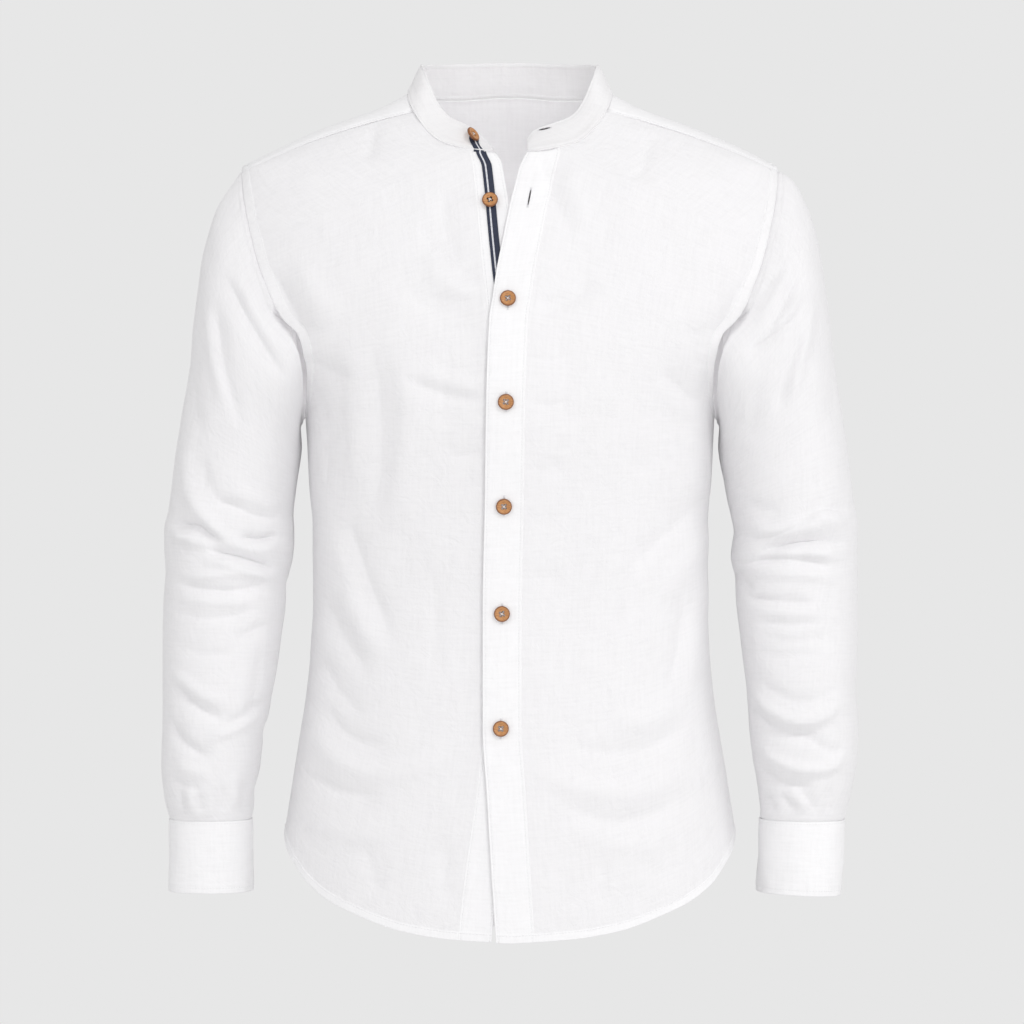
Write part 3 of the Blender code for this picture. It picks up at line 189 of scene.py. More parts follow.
# Folds: height (a trough is negative), half width, how much steeper one side is, then the points
# x, z of its line, all in millimetres on the picture plane.
SLEEVE_RIGHT_FOLDS = (  # the picture's left
    (-5.4, 5.5, 0.3, -251, -143, -239, -164, -230, -182, -217, -204, -206, -222, -192, -243),
    (3.4, 7, 0.0, -242, -138, -229, -160, -219, -179, -206, -201, -195, -220),
    (-4.0, 5, -0.2, -256, -161, -254, -193, -250, -222, -242, -253, -232, -288),
    (2.9, 5, 0.0, -263, -164, -262, -193, -256, -232, -246, -268),
    (-2.2, 6.5, 0.2, -273, -196, -275, -230, -273, -265, -266, -297),
    (4.2, 7, 0.0, -275, -272, -281, -303, -278, -338, -262, -364, -242, -382, -221, -392),
    (-1.6, 2.4, 0.0, -298, -366, -284, -364, -271, -366, -259, -375, -247, -382),
    (-1.8, 2.4, 0.0, -267, -386, -247, -390, -233, -393, -216, -398, -199, -405),
    (-1.7, 2.4, 0.0, -258, -342, -244, -347, -229, -354),
    (-1.6, 2.4, 0.0, -237, -376, -216, -377, -200, -375),
    (2.6, 4.5, 0.0, -295, -375, -280, -378, -269, -387),
    (2.6, 4.5, 0.0, -293, -405, -272, -410, -237, -408, -198, -410),
    (-2.8, 6, 0.3, -267, -302, -264, -324, -252, -344, -235, -357),
    (-6.6, 5, 0.4, -298, -366, -284, -364, -271, -366, -259, -375, -247, -382),
    (3.8, 5.5, 0.0, -298, -377, -282, -375, -270, -378, -258, -387),
    (-5.9, 4.5, 0.3, -267, -386, -247, -390, -233, -393, -216, -398, -199, -405),
    (3.8, 5, 0.0, -270, -396, -247, -399, -230, -404, -211, -411, -198, -415),
    (-5.0, 4.5, 0.2, -238, -374, -218, -377, -197, -374),
    (2.6, 5, 0.0, -244, -383, -221, -386, -198, -385),
    (-2.9, 5, 0.2, -258, -341, -240, -348, -221, -357, -197, -360),
    (2.1, 5.5, 0.0, -249, -335, -231, -340, -212, -347, -193, -349),
    (-4.1, 4.5, 0.3, -294, -414, -270, -420, -242, -422, -209, -416),
    (2.3, 5.5, 0.0, -294, -424, -270, -431, -242, -432, -211, -428),
    (-2.5, 5, 0.0, -296, -440, -271, -446, -245, -445, -216, -438),
    (-2.2, 5, 0.0, -291, -472, -264, -478, -235, -474),
    (-2.5, 6, 0.2, -244, -465, -226, -458, -207, -450),
    (-5.2, 4.5, 0.3, -296, -502, -283, -514, -263, -528, -241, -534),
    (3.2, 5, 0.0, -298, -490, -284, -501, -264, -515, -244, -521),
    (-3.6, 4.5, -0.2, -209, -517, -230, -530, -254, -543),
    (3.4, 4.5, 0.0, -211, -527, -236, -541, -266, -553),
    (-5.2, 5, 0.0, -297, -532, -290, -548, -275, -561, -257, -568),
    (2.2, 5.5, 0.0, -294, -572, -278, -579, -258, -582),
    (-2.4, 4.5, 0.2, -298, -585, -284, -592, -266, -595),
    (-2.0, 4.5, 0.0, -290, -592, -287, -605, -286, -616),
    (1.7, 4.5, 0.0, -282, -592, -279, -605, -278, -616),
    (-1.8, 4.5, 0.0, -271, -598, -270, -607, -270, -616),
    (-1.7, 4.5, 0.0, -251, -591, -249, -605, -250, -616),
    (1.7, 4.5, 0.0, -240, -578, -238, -598, -239, -615),
    (-1.8, 4.5, 0.0, -231, -584, -229, -602, -230, -616),
    (-2.4, 6, 0.0, -216, -465, -221, -509, -224, -552),
)
SLEEVE_LEFT_FOLDS = (  # the picture's right
    (3.4, 6, 0.0, 197, -363, 237, -371, 269, -355, 296, -342),
    (-2.2, 2.4, 0.0, 209, -395, 225, -385, 253, -380, 281, -379),
    (-1.8, 2.4, 0.0, 194, -393, 202, -399, 217, -396, 245, -395),
    (-1.7, 2.4, 0.0, 198, -373, 217, -377, 245, -369, 277, -351),
    (-1.3, 2.4, 0.0, 201, -423, 217, -429, 257, -427),
    (-5.2, 5, 0.2, 240, -140, 227, -154, 216, -169, 203, -193),
    (-4.4, 4.5, 0.2, 250, -145, 244, -163, 235, -183, 222, -199),
    (-4.6, 4.5, 0.2, 255, -175, 243, -187, 230, -198, 215, -209, 198, -216),
    (3.4, 4.5, 0.0, 245, -142, 233, -160, 222, -178, 212, -192),
    (2.8, 4.5, 0.0, 255, -163, 246, -175, 236, -188, 224, -199),
    (-3.6, 5, 0.0, 253, -186, 250, -210, 241, -240, 232, -276),
    (3.6, 5, 0.0, 262, -166, 259, -199, 250, -233, 243, -270),
    (-1.8, 7.5, 0.0, 278, -196, 282, -239, 280, -283),
    (-2.4, 7.5, 0.0, 219, -232, 212, -265, 209, -300),
    (-5.0, 5, 0.3, 298, -351, 273, -351, 261, -357, 247, -370),
    (3.0, 6.5, 0.0, 298, -363, 275, -362, 263, -370, 254, -377),
    (-6.9, 4.5, 0.4, 298, -385, 278, -379, 254, -380, 235, -384, 213, -391),
    (3.8, 5.5, 0.0, 296, -396, 277, -391, 256, -391, 237, -394, 221, -398),
    (-5.5, 4.5, 0.3, 202, -397, 230, -394, 261, -396, 285, -403),
    (-3.6, 6, 0.0, 197, -401, 202, -413, 212, -425),
    (3.0, 5.5, 0.0, 207, -406, 231, -407, 263, -409, 289, -415),
    (-4.1, 4.5, 0.2, 198, -424, 221, -430, 242, -432, 270, -432),
    (2.2, 5.5, 0.0, 205, -436, 240, -442, 275, -440),
    (-2.4, 4.5, 0.0, 209, -448, 244, -452, 278, -449),
    (-2.2, 4.5, 0.0, 218, -464, 249, -466, 287, -460),
    (-2.0, 5, 0.0, 211, -476, 240, -479, 271, -476),
    (-2.0, 6, 0.0, 204, -344, 219, -351, 238, -354),
    (5.2, 4.5, 0.0, 205, -504, 220, -521, 237, -533, 254, -537, 273, -532, 296, -515),
    (-6.0, 5, 0.2, 205, -519, 218, -535, 235, -545, 256, -548, 275, -544),
    (-2.9, 5, 0.0, 211, -493, 228, -509, 247, -518, 268, -517, 289, -504),
    (4.6, 4.5, 0.0, 211, -554, 231, -570, 252, -578, 278, -577, 298, -560),
    (-5.2, 4.5, 0.2, 212, -572, 226, -585, 247, -592, 268, -591),
    (-2.9, 4.5, 0.0, 250, -549, 265, -553, 278, -562, 295, -561),
    (-2.4, 4.5, 0.0, 228, -596, 240, -606, 251, -617),
    (1.8, 4.5, 0.0, 238, -594, 251, -605, 259, -616),
    (-2.0, 4.5, 0.0, 251, -592, 261, -605, 268, -616),
    (-1.8, 4.5, 0.0, 221, -599, 226, -608, 229, -617),
    (-1.7, 4.5, 0.0, 278, -591, 280, -605, 279, -618),
)
SLEEVE_RIGHT_BACK_FOLDS = (  # hidden, of the same kind
    (-2.4, 6, 0.2, -254, -182, -239, -194, -229, -204, -214, -213, -197, -217),
    (1.7, 9.5, 0.0, -245, -217, -238, -244, -230, -270, -226, -293),
    (-1.7, 8.5, 0.0, -275, -206, -278, -250, -277, -293),
    (-1.7, 8.5, 0.0, -218, -244, -211, -277, -207, -312),
    (-4.3, 6, 0.3, -291, -365, -267, -364, -255, -371, -241, -384),
    (2.1, 7.5, 0.0, -293, -371, -271, -370, -258, -377, -250, -384),
    (-5.5, 5.5, 0.4, -295, -395, -276, -389, -251, -390, -232, -393, -211, -400),
    (3.4, 6.5, 0.0, -295, -407, -276, -402, -255, -402, -236, -405, -220, -409),
    (-3.8, 5, 0.3, -197, -410, -224, -407, -256, -409, -280, -416),
    (-3.1, 7, 0.0, -193, -408, -198, -420, -209, -432),
    (2.1, 6.5, 0.0, -205, -415, -230, -416, -261, -418, -287, -424),
    (-3.1, 5.5, 0.2, -192, -435, -215, -440, -236, -443, -264, -443),
    (2.1, 6.5, 0.0, -201, -448, -236, -454, -271, -452),
    (-1.7, 5.5, 0.0, -206, -462, -241, -466, -276, -463),
    (-1.8, 5.5, 0.0, -217, -471, -248, -474, -286, -468),
    (-1.3, 6, 0.0, -205, -485, -235, -489, -266, -485),
    (-1.7, 7, 0.0, -200, -355, -216, -362, -235, -365),
    (4.0, 6, 0.0, -204, -517, -218, -534, -235, -546, -252, -550, -271, -545, -294, -528),
    (-3.2, 7, 0.2, -199, -526, -211, -542, -229, -551, -250, -555, -269, -551),
    (-2.5, 6, 0.0, -206, -502, -224, -518, -243, -526, -264, -525, -284, -512),
    (2.3, 6, 0.0, -208, -565, -228, -580, -250, -589, -276, -587, -296, -571),
    (-3.2, 6, 0.2, -211, -584, -225, -598, -246, -605, -267, -603),
    (-2.8, 5, 0.0, -244, -563, -260, -567, -273, -576, -290, -575),
    (-1.7, 4.5, 0.0, -224, -604, -237, -614, -247, -625),
    (1.6, 5, 0.0, -237, -604, -249, -614, -258, -625),
    (-1.3, 4.5, 0.0, -244, -604, -255, -616, -262, -627),
    (-1.4, 4.5, 0.0, -217, -612, -222, -621, -224, -630),
    (-1.4, 4.5, 0.0, -276, -598, -278, -612, -277, -625),
)
SLEEVE_LEFT_BACK_FOLDS = (  # hidden, of the same kind
    (1.6, 9.5, 0.0, 250, -201, 244, -229, 236, -255, 225, -284),
    (-1.7, 7.5, 0.2, 278, -203, 280, -237, 278, -272, 271, -304),
    (2.6, 8.5, 0.0, 284, -310, 284, -337, 272, -357, 254, -378),
    (-2.0, 7, 0.3, 269, -312, 266, -335, 254, -354, 237, -368),
    (-5.6, 6, 0.4, 304, -378, 290, -376, 278, -378, 265, -387, 253, -394),
    (2.3, 6.5, 0.0, 302, -384, 286, -381, 274, -384, 263, -393),
    (-4.5, 5.5, 0.3, 270, -394, 250, -398, 236, -401, 218, -406, 202, -413),
    (3.4, 6, 0.0, 271, -405, 248, -409, 231, -413, 211, -420, 199, -424),
    (-3.6, 5.5, 0.2, 244, -385, 224, -389, 203, -385),
    (2.2, 6, 0.0, 247, -388, 224, -391, 202, -391),
    (-1.8, 6, 0.2, 259, -348, 242, -355, 223, -364, 198, -367),
    (1.6, 6.5, 0.0, 255, -344, 238, -349, 218, -356, 199, -357),
    (-3.6, 5.5, 0.3, 298, -424, 274, -431, 246, -432, 213, -426),
    (1.7, 6.5, 0.0, 297, -436, 272, -443, 244, -444, 213, -440),
    (-2.2, 6, 0.0, 297, -446, 272, -452, 246, -451, 217, -444),
    (-1.4, 6, 0.0, 296, -480, 270, -485, 240, -482),
    (-2.0, 7, 0.2, 247, -475, 230, -468, 211, -459),
    (-3.2, 6, 0.3, 297, -508, 288, -520, 266, -535, 244, -545),
    (1.7, 7.5, 0.0, 304, -514, 293, -528, 272, -542, 251, -551),
    (-2.8, 6, -0.2, 212, -528, 232, -543, 257, -558),
    (1.3, 7.5, 0.0, 213, -540, 232, -556, 253, -570),
    (-3.1, 7.5, 0.0, 295, -552, 288, -567, 272, -577, 257, -580),
    (2.1, 6.5, 0.0, 299, -584, 284, -592, 263, -594),
    (-1.7, 5, 0.2, 301, -592, 287, -598, 270, -601),
    (-1.7, 4.5, 0.0, 291, -600, 289, -612, 288, -624),
    (1.0, 5, 0.0, 288, -602, 285, -615, 284, -625),
    (-1.4, 4.5, 0.0, 276, -609, 274, -618, 274, -627),
    (-1.4, 5, 0.0, 253, -596, 251, -610, 252, -621),
    (1.2, 5.5, 0.0, 241, -585, 239, -605, 240, -622),
    (-1.7, 4.5, 0.0, 236, -592, 234, -611, 235, -625),
    (-1.4, 7, 0.0, 219, -476, 224, -519, 228, -563),
)
FRONT_FOLDS = (  # the body's front
    (-3.6, 7, 0.2, -116, -14, -120, -32, -125, -52),
    (-3.0, 7, 0.0, 122, -22, 118, -45, 112, -70),
    (-4.1, 9, 0.3, -16, -157, -35, -145, -54, -131, -70, -117, -85, -98),
    (2.7, 9.5, 0.0, -21, -171, -42, -161, -61, -148, -78, -130),
    (-3.6, 9, 0.2, -17, -185, -42, -183, -70, -175, -96, -161),
    (-3.2, 8, 0.0, -54, -65, -57, -91, -52, -117, -42, -142),
    (-3.8, 8, -0.2, 19, -189, 37, -180, 59, -166, 78, -149),
    (-3.2, 8, 0.0, 30, -65, 45, -91, 54, -122),
    (-2.7, 9, 0.0, 22, -39, 37, -74, 44, -104),
    (2.5, 9.5, 0.0, 44, -48, 61, -83, 71, -117),
    (-5.4, 11, 0.2, -211, -136, -197, -166, -183, -192, -172, -215),
    (2.9, 12.5, 0.0, -190, -126, -172, -161, -155, -196),
    (-2.8, 9, 0.0, -183, -218, -157, -232, -129, -239),
    (-4.2, 11, -0.2, 211, -136, 197, -168, 184, -196, 179, -215),
    (2.5, 12.5, 0.0, 186, -136, 172, -170, 160, -201),
    (2.8, 11, -0.2, -146, -188, -138, -239, -134, -300, -142, -352),
    (-2.9, 9, 0.0, -122, -196, -114, -252, -114, -318, -124, -372),
    (3.4, 13, -0.3, -96, -205, -91, -257, -94, -316, -107, -382),
    (-2.3, 8, 0.0, -166, -240, -160, -292, -163, -345),
    (2.3, 8.5, 0.2, -158, -357, -138, -422, -113, -480),
    (-3.2, 8, 0.2, -144, -350, -124, -413, -98, -476),
    (-3.0, 8, 0.0, -165, -420, -144, -465, -119, -502),
    (2.0, 8.5, 0.0, -151, -413, -131, -453, -105, -490),
    (-3.3, 9, 0.0, -168, -472, -150, -509, -122, -538),
    (-3.3, 8, 0.3, -165, -517, -140, -549, -98, -560),
    (3.1, 9.5, 0.2, -177, -515, -161, -557, -126, -580, -78, -575, -34, -548),
    (-3.3, 8, 0.3, -184, -577, -148, -597, -107, -602),
    (1.7, 9.5, 0.0, -183, -617, -139, -634, -93, -627),
    (-2.1, 7, 0.2, -78, -166, -48, -170, -17, -167),
    (-1.6, 6.5, 0.0, -72, -187, -35, -196, -15, -198),
    (-2.8, 7, 0.3, -97, -235, -61, -250, -15, -259),
    (2.0, 7.5, 0.0, -90, -226, -52, -241, -15, -248),
    (-1.6, 6.5, 0.0, -66, -300, -40, -304, -17, -301),
    (-1.9, 6.5, 0.2, 13, -168, 32, -170, 55, -165),
    (-1.3, 5.5, 0.0, 13, -218, 35, -222, 58, -216),
    (-1.6, 5.5, 0.2, 13, -256, 35, -261, 54, -257),
    (-1.3, 5.5, 0.0, 12, -313, 30, -318, 46, -309),
    (-1.3, 5.5, 0.0, 11, -408, 30, -412, 47, -405),
    (-3.0, 8, 0.3, 133, -228, 150, -248, 169, -264),
    (2.3, 8.5, 0.0, 124, -236, 141, -257, 158, -276),
    (-1.8, 10, 0.0, 121, -283, 113, -330, 117, -372),
    (-2.8, 9.5, 0.2, 179, -331, 141, -370, 98, -408),
    (2.0, 9.5, 0.0, 181, -358, 157, -396, 124, -432),
    (3.0, 9.5, 0.0, 169, -394, 163, -448, 155, -512),
    (-3.0, 8, 0.0, 153, -418, 148, -465, 137, -520),
    (-1.8, 9, 0.0, 96, -395, 88, -448, 70, -492),
    (2.5, 10, 0.0, 84, -531, 118, -538, 150, -516),
    (-3.6, 8, 0.3, 158, -534, 127, -557, 87, -564, 40, -553),
    (3.1, 10, 0.0, 14, -574, 61, -594, 113, -597, 168, -574),
    (-2.9, 8, 0.3, 40, -607, 96, -623, 160, -602),
    (1.7, 9.5, 0.0, 44, -629, 82, -640, 122, -644, 157, -636),
    (-1.8, 8, 0.0, -70, -396, -64, -448, -70, -509),
    (-1.6, 9, 0.0, 44, -196, 49, -239, 44, -291),
    (-1.6, 9, 0.0, -52, -204, -57, -257, -52, -309),
    (-2.4, 9, 0.0, -130, -639, -120, -665, -117, -692),
    (-2.1, 9, 0.0, -61, -631, -56, -665, -57, -705),
    (-2.3, 9, 0.0, 78, -648, 82, -674, 78, -705),
    (-2.1, 9, 0.0, 137, -631, 134, -657, 127, -683),
)
BACK_FOLDS = (  # the body's back, hidden, of the same kind
    (1.3, 3, 0.0, -3, 6, -2, -16, -2, -44),
    (-2.7, 15, 0.0, -183, -126, -157, -170, -137, -213),
    (-2.7, 15, 0.0, 184, -126, 158, -170, 139, -213),
    (2.0, 15, 0.0, -157, -109, -127, -161, -106, -213),
    (2.0, 15, 0.0, 157, -113, 127, -165, 106, -213),
    (-3.4, 18, 0.0, -130, -239, -113, -300, -110, -370, -122, -439),
    (-3.4, 18, 0.0, 122, -248, 106, -309, 103, -378, 115, -448),
    (2.5, 18, 0.0, -78, -257, -68, -326, -70, -396),
    (2.5, 18, 0.0, 70, -257, 59, -326, 63, -396),
    (-2.7, 12, 0.2, -148, -361, -96, -378, -44, -384, 9, -379),
    (-2.5, 12, 0.2, 157, -348, 113, -363, 70, -369, 30, -364),
    (2.0, 12, 0.0, -113, -401, -61, -409, 0, -408),
    (-2.4, 12, 0.0, -78, -427, -26, -432, 35, -428, 87, -420),
    (-2.0, 16, 0.0, -157, -518, -130, -570, -120, -631),
    (-2.0, 16, 0.0, 157, -518, 134, -570, 125, -631),
    (-2.0, 18, 0.0, -52, -500, -45, -570, -50, -648),
    (1.9, 18, 0.0, 0, -483, 5, -561, 2, -648),
    (-2.0, 18, 0.0, 56, -500, 50, -570, 56, -648),
    (1.7, 18, 0.0, -97, -518, -87, -587, -89, -657),
    (-1.5, 13, 0.0, -35, -83, -26, -135, -28, -196),
    (-1.5, 13, 0.0, 40, -83, 31, -143, 35, -196),
)


def smooth_table(table, key, column):
    """The column as a smooth function of the key, for numbers or arrays."""
    order = np.argsort(table[key])
    keys = np.array(table[key])[order]
    values = np.array(table[column])[order]
    steps = np.diff(values) / np.diff(keys)
    slopes = np.zeros(len(keys))
    slopes[[0, -1]] = steps[[0, -1]]
    same = steps[:-1] * steps[1:] > 0.0
    slopes[1:-1][same] = 2.0 / (1.0 / steps[:-1][same] + 1.0 / steps[1:][same])

    def value(at):
        at = np.clip(at, keys[0], keys[-1])
        i = np.clip(np.searchsorted(keys, at, side="right") - 1, 0, len(keys) - 2)
        width = keys[i + 1] - keys[i]
        t = (at - keys[i]) / width
        first = (2 * t**3 - 3 * t**2 + 1) * values[i] + (t**3 - 2 * t**2 + t) * width * slopes[i]
        second = (3 * t**2 - 2 * t**3) * values[i + 1] + (t**3 - t**2) * width * slopes[i + 1]
        return first + second

    return value


def row_table(table):
    """Each column of a table without a key, as a smooth function of the share of the way down its rows."""
    count = len(next(iter(table.values())))
    rows = {"row": tuple(i / (count - 1) for i in range(count)), **table}
    return {column: smooth_table(rows, "row", column) for column in table}


HALF_WIDTH = smooth_table(TORSO, "z", "half_width")
SHOULDER_REACH = smooth_table(SHOULDER, "z", "x")
RIDGE = smooth_table(SHOULDER, "x", "z")
FRONT_SEAM_HEIGHT = smooth_table(FRONT_SEAM, "x", "z")
EDGE_OF_PLACKET = smooth_table(PLACKET_EDGE, "z", "x")
SEAM_OF_BAND = smooth_table(BAND_SEAM, "z", "x")
TORSO_DEPTH = {face: smooth_table(TORSO, "z", face) for face in ("front", "back")}
NECK_DEPTH = {face: smooth_table(SHOULDER_DEPTH, "z", face) for face in ("front", "back")}
ARMHOLE_REACH = {face: smooth_table(ARMHOLE, "z", face) for face in ("front", "back")}
HEM_HEIGHT = {face: smooth_table(HEM, "share", face) for face in ("front", "back")}
SHOULDER_POINT = SHOULDER_DEPTH["z"][0]
ARMHOLE_TOP = -0.0565
CORNER_ARMHOLE = -0.128  # height of the armhole level with the fronts' neck corners
FRONT_SEAM_END = FRONT_SEAM["z"][-1]
BACK_SEAM_END = BACK_SEAM_CENTRE - BACK_SEAM_FALL
NECK_CORNER = -0.0450
NECK_SEAM_MEET = FRONT_SEAM["x"][0]  # where the yoke's front seams meet the neck
NECK_SAMPLES = 200
BEND_STEP = 0.001  # over which slopes of the torso are taken
SOFTEN_REACH = 0.016
HEM_MIDDLE = 0.1  # share of the half width at which the hem's height stands for that of its middle


def lerp(start, end, share):
    return start + (end - start) * share


def ease(share):
    """A smooth step from 0 to 1."""
    share = np.clip(share, 0.0, 1.0)
    return share * share * (3.0 - 2.0 * share)


def mirror_to(side):
    """What turns points of the wearer's left side into those of the side."""
    return np.array([side, 1.0, 1.0])


MIRROR = mirror_to(-1.0)


def unit(vectors):
    return vectors / np.maximum(np.linalg.norm(vectors, axis=-1, keepdims=True), 1e-12)


def half_at(z):
    return np.where(z > SHOULDER_POINT, SHOULDER_REACH(z), HALF_WIDTH(z))


def middle_at(z, face):
    return np.where(z > SHOULDER_POINT, NECK_DEPTH[face](z), TORSO_DEPTH[face](z))


def depth(x, z, face):
    share = np.minimum(np.abs(x) / half_at(z), 1.0)
    return middle_at(z, face) * (1.0 - share**SQUARENESS) ** (1.0 / SQUARENESS)


def soft_depth(x, z, face):
    """The depth without the solid's slight creases across the chest, but true along the sides."""
    reach = SOFTEN_REACH * ease((RIDGE(np.minimum(np.abs(x), SHOULDER["x"][-1])) - z) / 0.030)
    steps = np.linspace(-1.0, 1.0, 7)
    weights = 1.0 - 0.85 * steps**2
    mean = sum(w * depth(x, z + step * reach, face) for step, w in zip(steps, weights)) / weights.sum()
    side = np.minimum(np.abs(x) / half_at(z), 1.0) ** 8
    return lerp(mean, depth(x, z, face), side)


def torso_points(x, z, face):
    """Points of the torso's surface that are seen at x and z, in front ("front") or behind ("back")."""
    x, z = np.broadcast_arrays(np.asarray(x, float), np.asarray(z, float))
    y = soft_depth(x, z, face)
    return np.stack([x, -y if face == "front" else y, z], axis=-1)


def torso_normals(points):
    """Outward normals of the torso's surface at points on it or near it."""
    x, y, z = points[..., 0], points[..., 1], points[..., 2]
    front = y < 0.0
    half = half_at(z)
    half_slope = (half_at(z + BEND_STEP) - half_at(z - BEND_STEP)) / (2.0 * BEND_STEP)
    middle, over, under = (np.where(front, middle_at(at, "front"), middle_at(at, "back"))
                           for at in (z, z + BEND_STEP, z - BEND_STEP))
    level = np.copysign(np.abs(x / half) ** (SQUARENESS - 1.0) / half, x)
    ahead = np.copysign(np.abs(y / middle) ** (SQUARENESS - 1.0) / middle, y)
    rise = -np.abs(y / middle) ** SQUARENESS / middle * (over - under) / (2.0 * BEND_STEP)
    rise = rise - np.abs(x / half) ** SQUARENESS / half * half_slope
    return unit(np.stack([level, ahead, rise], axis=-1))


def turn_of(share):
    return np.arcsin(np.minimum(share, 1.0) ** (SQUARENESS / 2.0))


def share_of(turn):
    return np.sin(turn) ** (2.0 / SQUARENESS)


def surface_height(x, y):
    """The height at which the shoulders' surface passes over places seen from above."""
    x, y = np.broadcast_arrays(np.asarray(x, float), np.asarray(y, float))
    low = np.full(x.shape, -0.12)
    high = RIDGE(np.abs(x)) - 1e-6
    for _ in range(40):
        middle = (low + high) / 2.0
        out = np.where(y < 0.0, depth(x, middle, "front"), depth(x, middle, "back"))
        beyond = out > np.abs(y)
        low = np.where(beyond, middle, low)
        high = np.where(beyond, high, middle)
    return (low + high) / 2.0


def lengths_along(points):
    return np.concatenate([[0.0], np.cumsum(np.linalg.norm(np.diff(points, axis=0), axis=1))])


def along_line(points, lengths, at):
    """What lies at a length along a polyline, or at several of them; lengths holds those of its points."""
    return np.stack([np.interp(at, lengths, points[:, k]) for k in range(points.shape[1])], axis=-1)


def resample(points, count):
    """The polyline's points again, count of them, evenly along its length."""
    lengths = lengths_along(points)
    return along_line(points, lengths, np.linspace(0.0, lengths[-1], count))


def curved(line, parts=4):
    """The points of a line with a smooth curve through them."""
    ends = np.concatenate([[2 * line[0] - line[1]], line, [2 * line[-1] - line[-2]]])
    found = [line[:1]]
    for a, b, c, d in zip(ends, ends[1:], ends[2:], ends[3:]):
        t = np.linspace(0.0, 1.0, parts + 1)[1:, None]
        found.append(0.5 * (2 * b + (c - a) * t + (2 * a - 5 * b + 4 * c - d) * t**2
                            + (3 * b - a - 3 * c + d) * t**3))
    return np.concatenate(found)


def spots(start, *runs):
    """Numbers that rise from start: each run is (end, step), so that edges and seams get closer ones."""
    found = [start]
    for end, step in runs:
        count = max(int(round((end - found[-1]) / step)), 1)
        found += list(np.linspace(found[-1], end, count + 1)[1:])
    return np.array(found)


# ---- the torso's panels -----------------------------------------------------------------------------
NECK_PLAN = resample(curved(np.array([NECK["x"], NECK["y"]]).T, 16), NECK_SAMPLES)
NECK_AHEAD = NECK_PLAN[: NECK_SAMPLES * 9 // 20]


def front_inner_edge(side, z):
    """Distance from the centre of a front panel's seam with the placket (+1) or the button band (-1)."""
    return EDGE_OF_PLACKET(z) + PLACKET_WIDTH if side > 0 else -SEAM_OF_BAND(z)


def neck_front_height(x):
    return surface_height(x, np.interp(np.abs(x), NECK_AHEAD[:, 0], NECK_AHEAD[:, 1]))


def lower_row(share_down, face, inner, across):
    """A row between the underarm and the hem: distances from the centre and heights."""
    middle = lerp(UNDERARM, HEM_HEIGHT[face](HEM_MIDDLE), share_down)
    first = turn_of(inner(middle) / HALF_WIDTH(middle))
    share = share_of(np.maximum(lerp(first, math.pi / 2.0, across), 0.0))
    z = lerp(UNDERARM, HEM_HEIGHT[face](share), share_down)
    return np.stack([share * HALF_WIDTH(z), z], axis=-1)


def upper_row(start, end, across):
    """A row between two places seen from the front, its points spread as the section curves."""
    first = turn_of(start[0] / half_at(start[1]))
    low = share_of(first)
    share = (share_of(np.maximum(lerp(first, math.pi / 2.0, across), 0.0)) - low) / (1.0 - low)
    return np.stack([lerp(start[0], end[0], share), lerp(start[1], end[1], share)], axis=-1)


def front_rows(side, lower, upper, neck, across):
    """A front panel's rows from hem to yoke, seen from the front: distances from the centre and heights.

    lower, upper and neck hold the shares at which its rows lie: 1 to 0 from the hem to the underarm, then 0
    to 1 from there to the neck corner, and 0 to 1 from there to the yoke."""

    def inner(z):
        return front_inner_edge(side, z)

    table = [lower_row(share, "front", inner, across) for share in lower]
    corner_x = inner(NECK_CORNER)
    corner_z = neck_front_height(corner_x)
    for share in upper:
        z = lerp(UNDERARM, corner_z, share)
        arm = lerp(UNDERARM, CORNER_ARMHOLE, share)
        table.append(upper_row((inner(z), z), (ARMHOLE_REACH["front"](arm), arm), across))
    first = turn_of(corner_x / NECK_SEAM_MEET)
    for share in neck:
        x = share_of(lerp(first, math.pi / 2.0, share)) * NECK_SEAM_MEET
        arm = lerp(CORNER_ARMHOLE, FRONT_SEAM_END, share)
        height = neck_front_height(x)
        row = upper_row((x, height), (ARMHOLE_REACH["front"](arm), arm), across)
        below = (FRONT_SEAM_HEIGHT(x) - height, FRONT_SEAM_HEIGHT(row[-1, 0]) - arm)
        level = ease(3.0 * share)  # the upper rows run level with the seam
        row[:, 1] = lerp(row[:, 1], FRONT_SEAM_HEIGHT(row[:, 0]) - lerp(*below, across), level)
        table.append(row)
    return np.array(table)


def back_rows(lower, upper, across):
    """The wearer's left half of the back, seen from the front."""
    table = [lower_row(share, "back", lambda z: 0.0, across) for share in lower]
    for share in upper:
        centre = lerp(UNDERARM, BACK_SEAM_CENTRE, share)
        arm = lerp(UNDERARM, BACK_SEAM_END, share)
        table.append(upper_row((0.0, centre), (ARMHOLE_REACH["back"](arm), arm), across))
    return np.array(table)


def shoulder_heights(x):
    """The heights of a shoulder's ridge, of the front yoke seam and of the back one."""
    reach = np.minimum(np.abs(x), SHOULDER["x"][-1])
    back_end = BACK_SEAM_CENTRE - BACK_SEAM_FALL * (x / ARMHOLE_REACH["back"](BACK_SEAM_END)) ** 2
    return RIDGE(reach), FRONT_SEAM_HEIGHT(reach), back_end


def arch_points(x, way):
    """Places on a shoulder: way is 1 at the back yoke seam, 0 on the ridge and -1 at the front seam."""
    ridge, front_end, back_end = shoulder_heights(x)
    end = np.where(way < 0.0, front_end, back_end)
    z = np.minimum(lerp(ridge, end, way * way), ridge - 1e-6)
    return np.where((way > 0.0)[..., None], torso_points(x, z, "back"), torso_points(x, z, "front"))


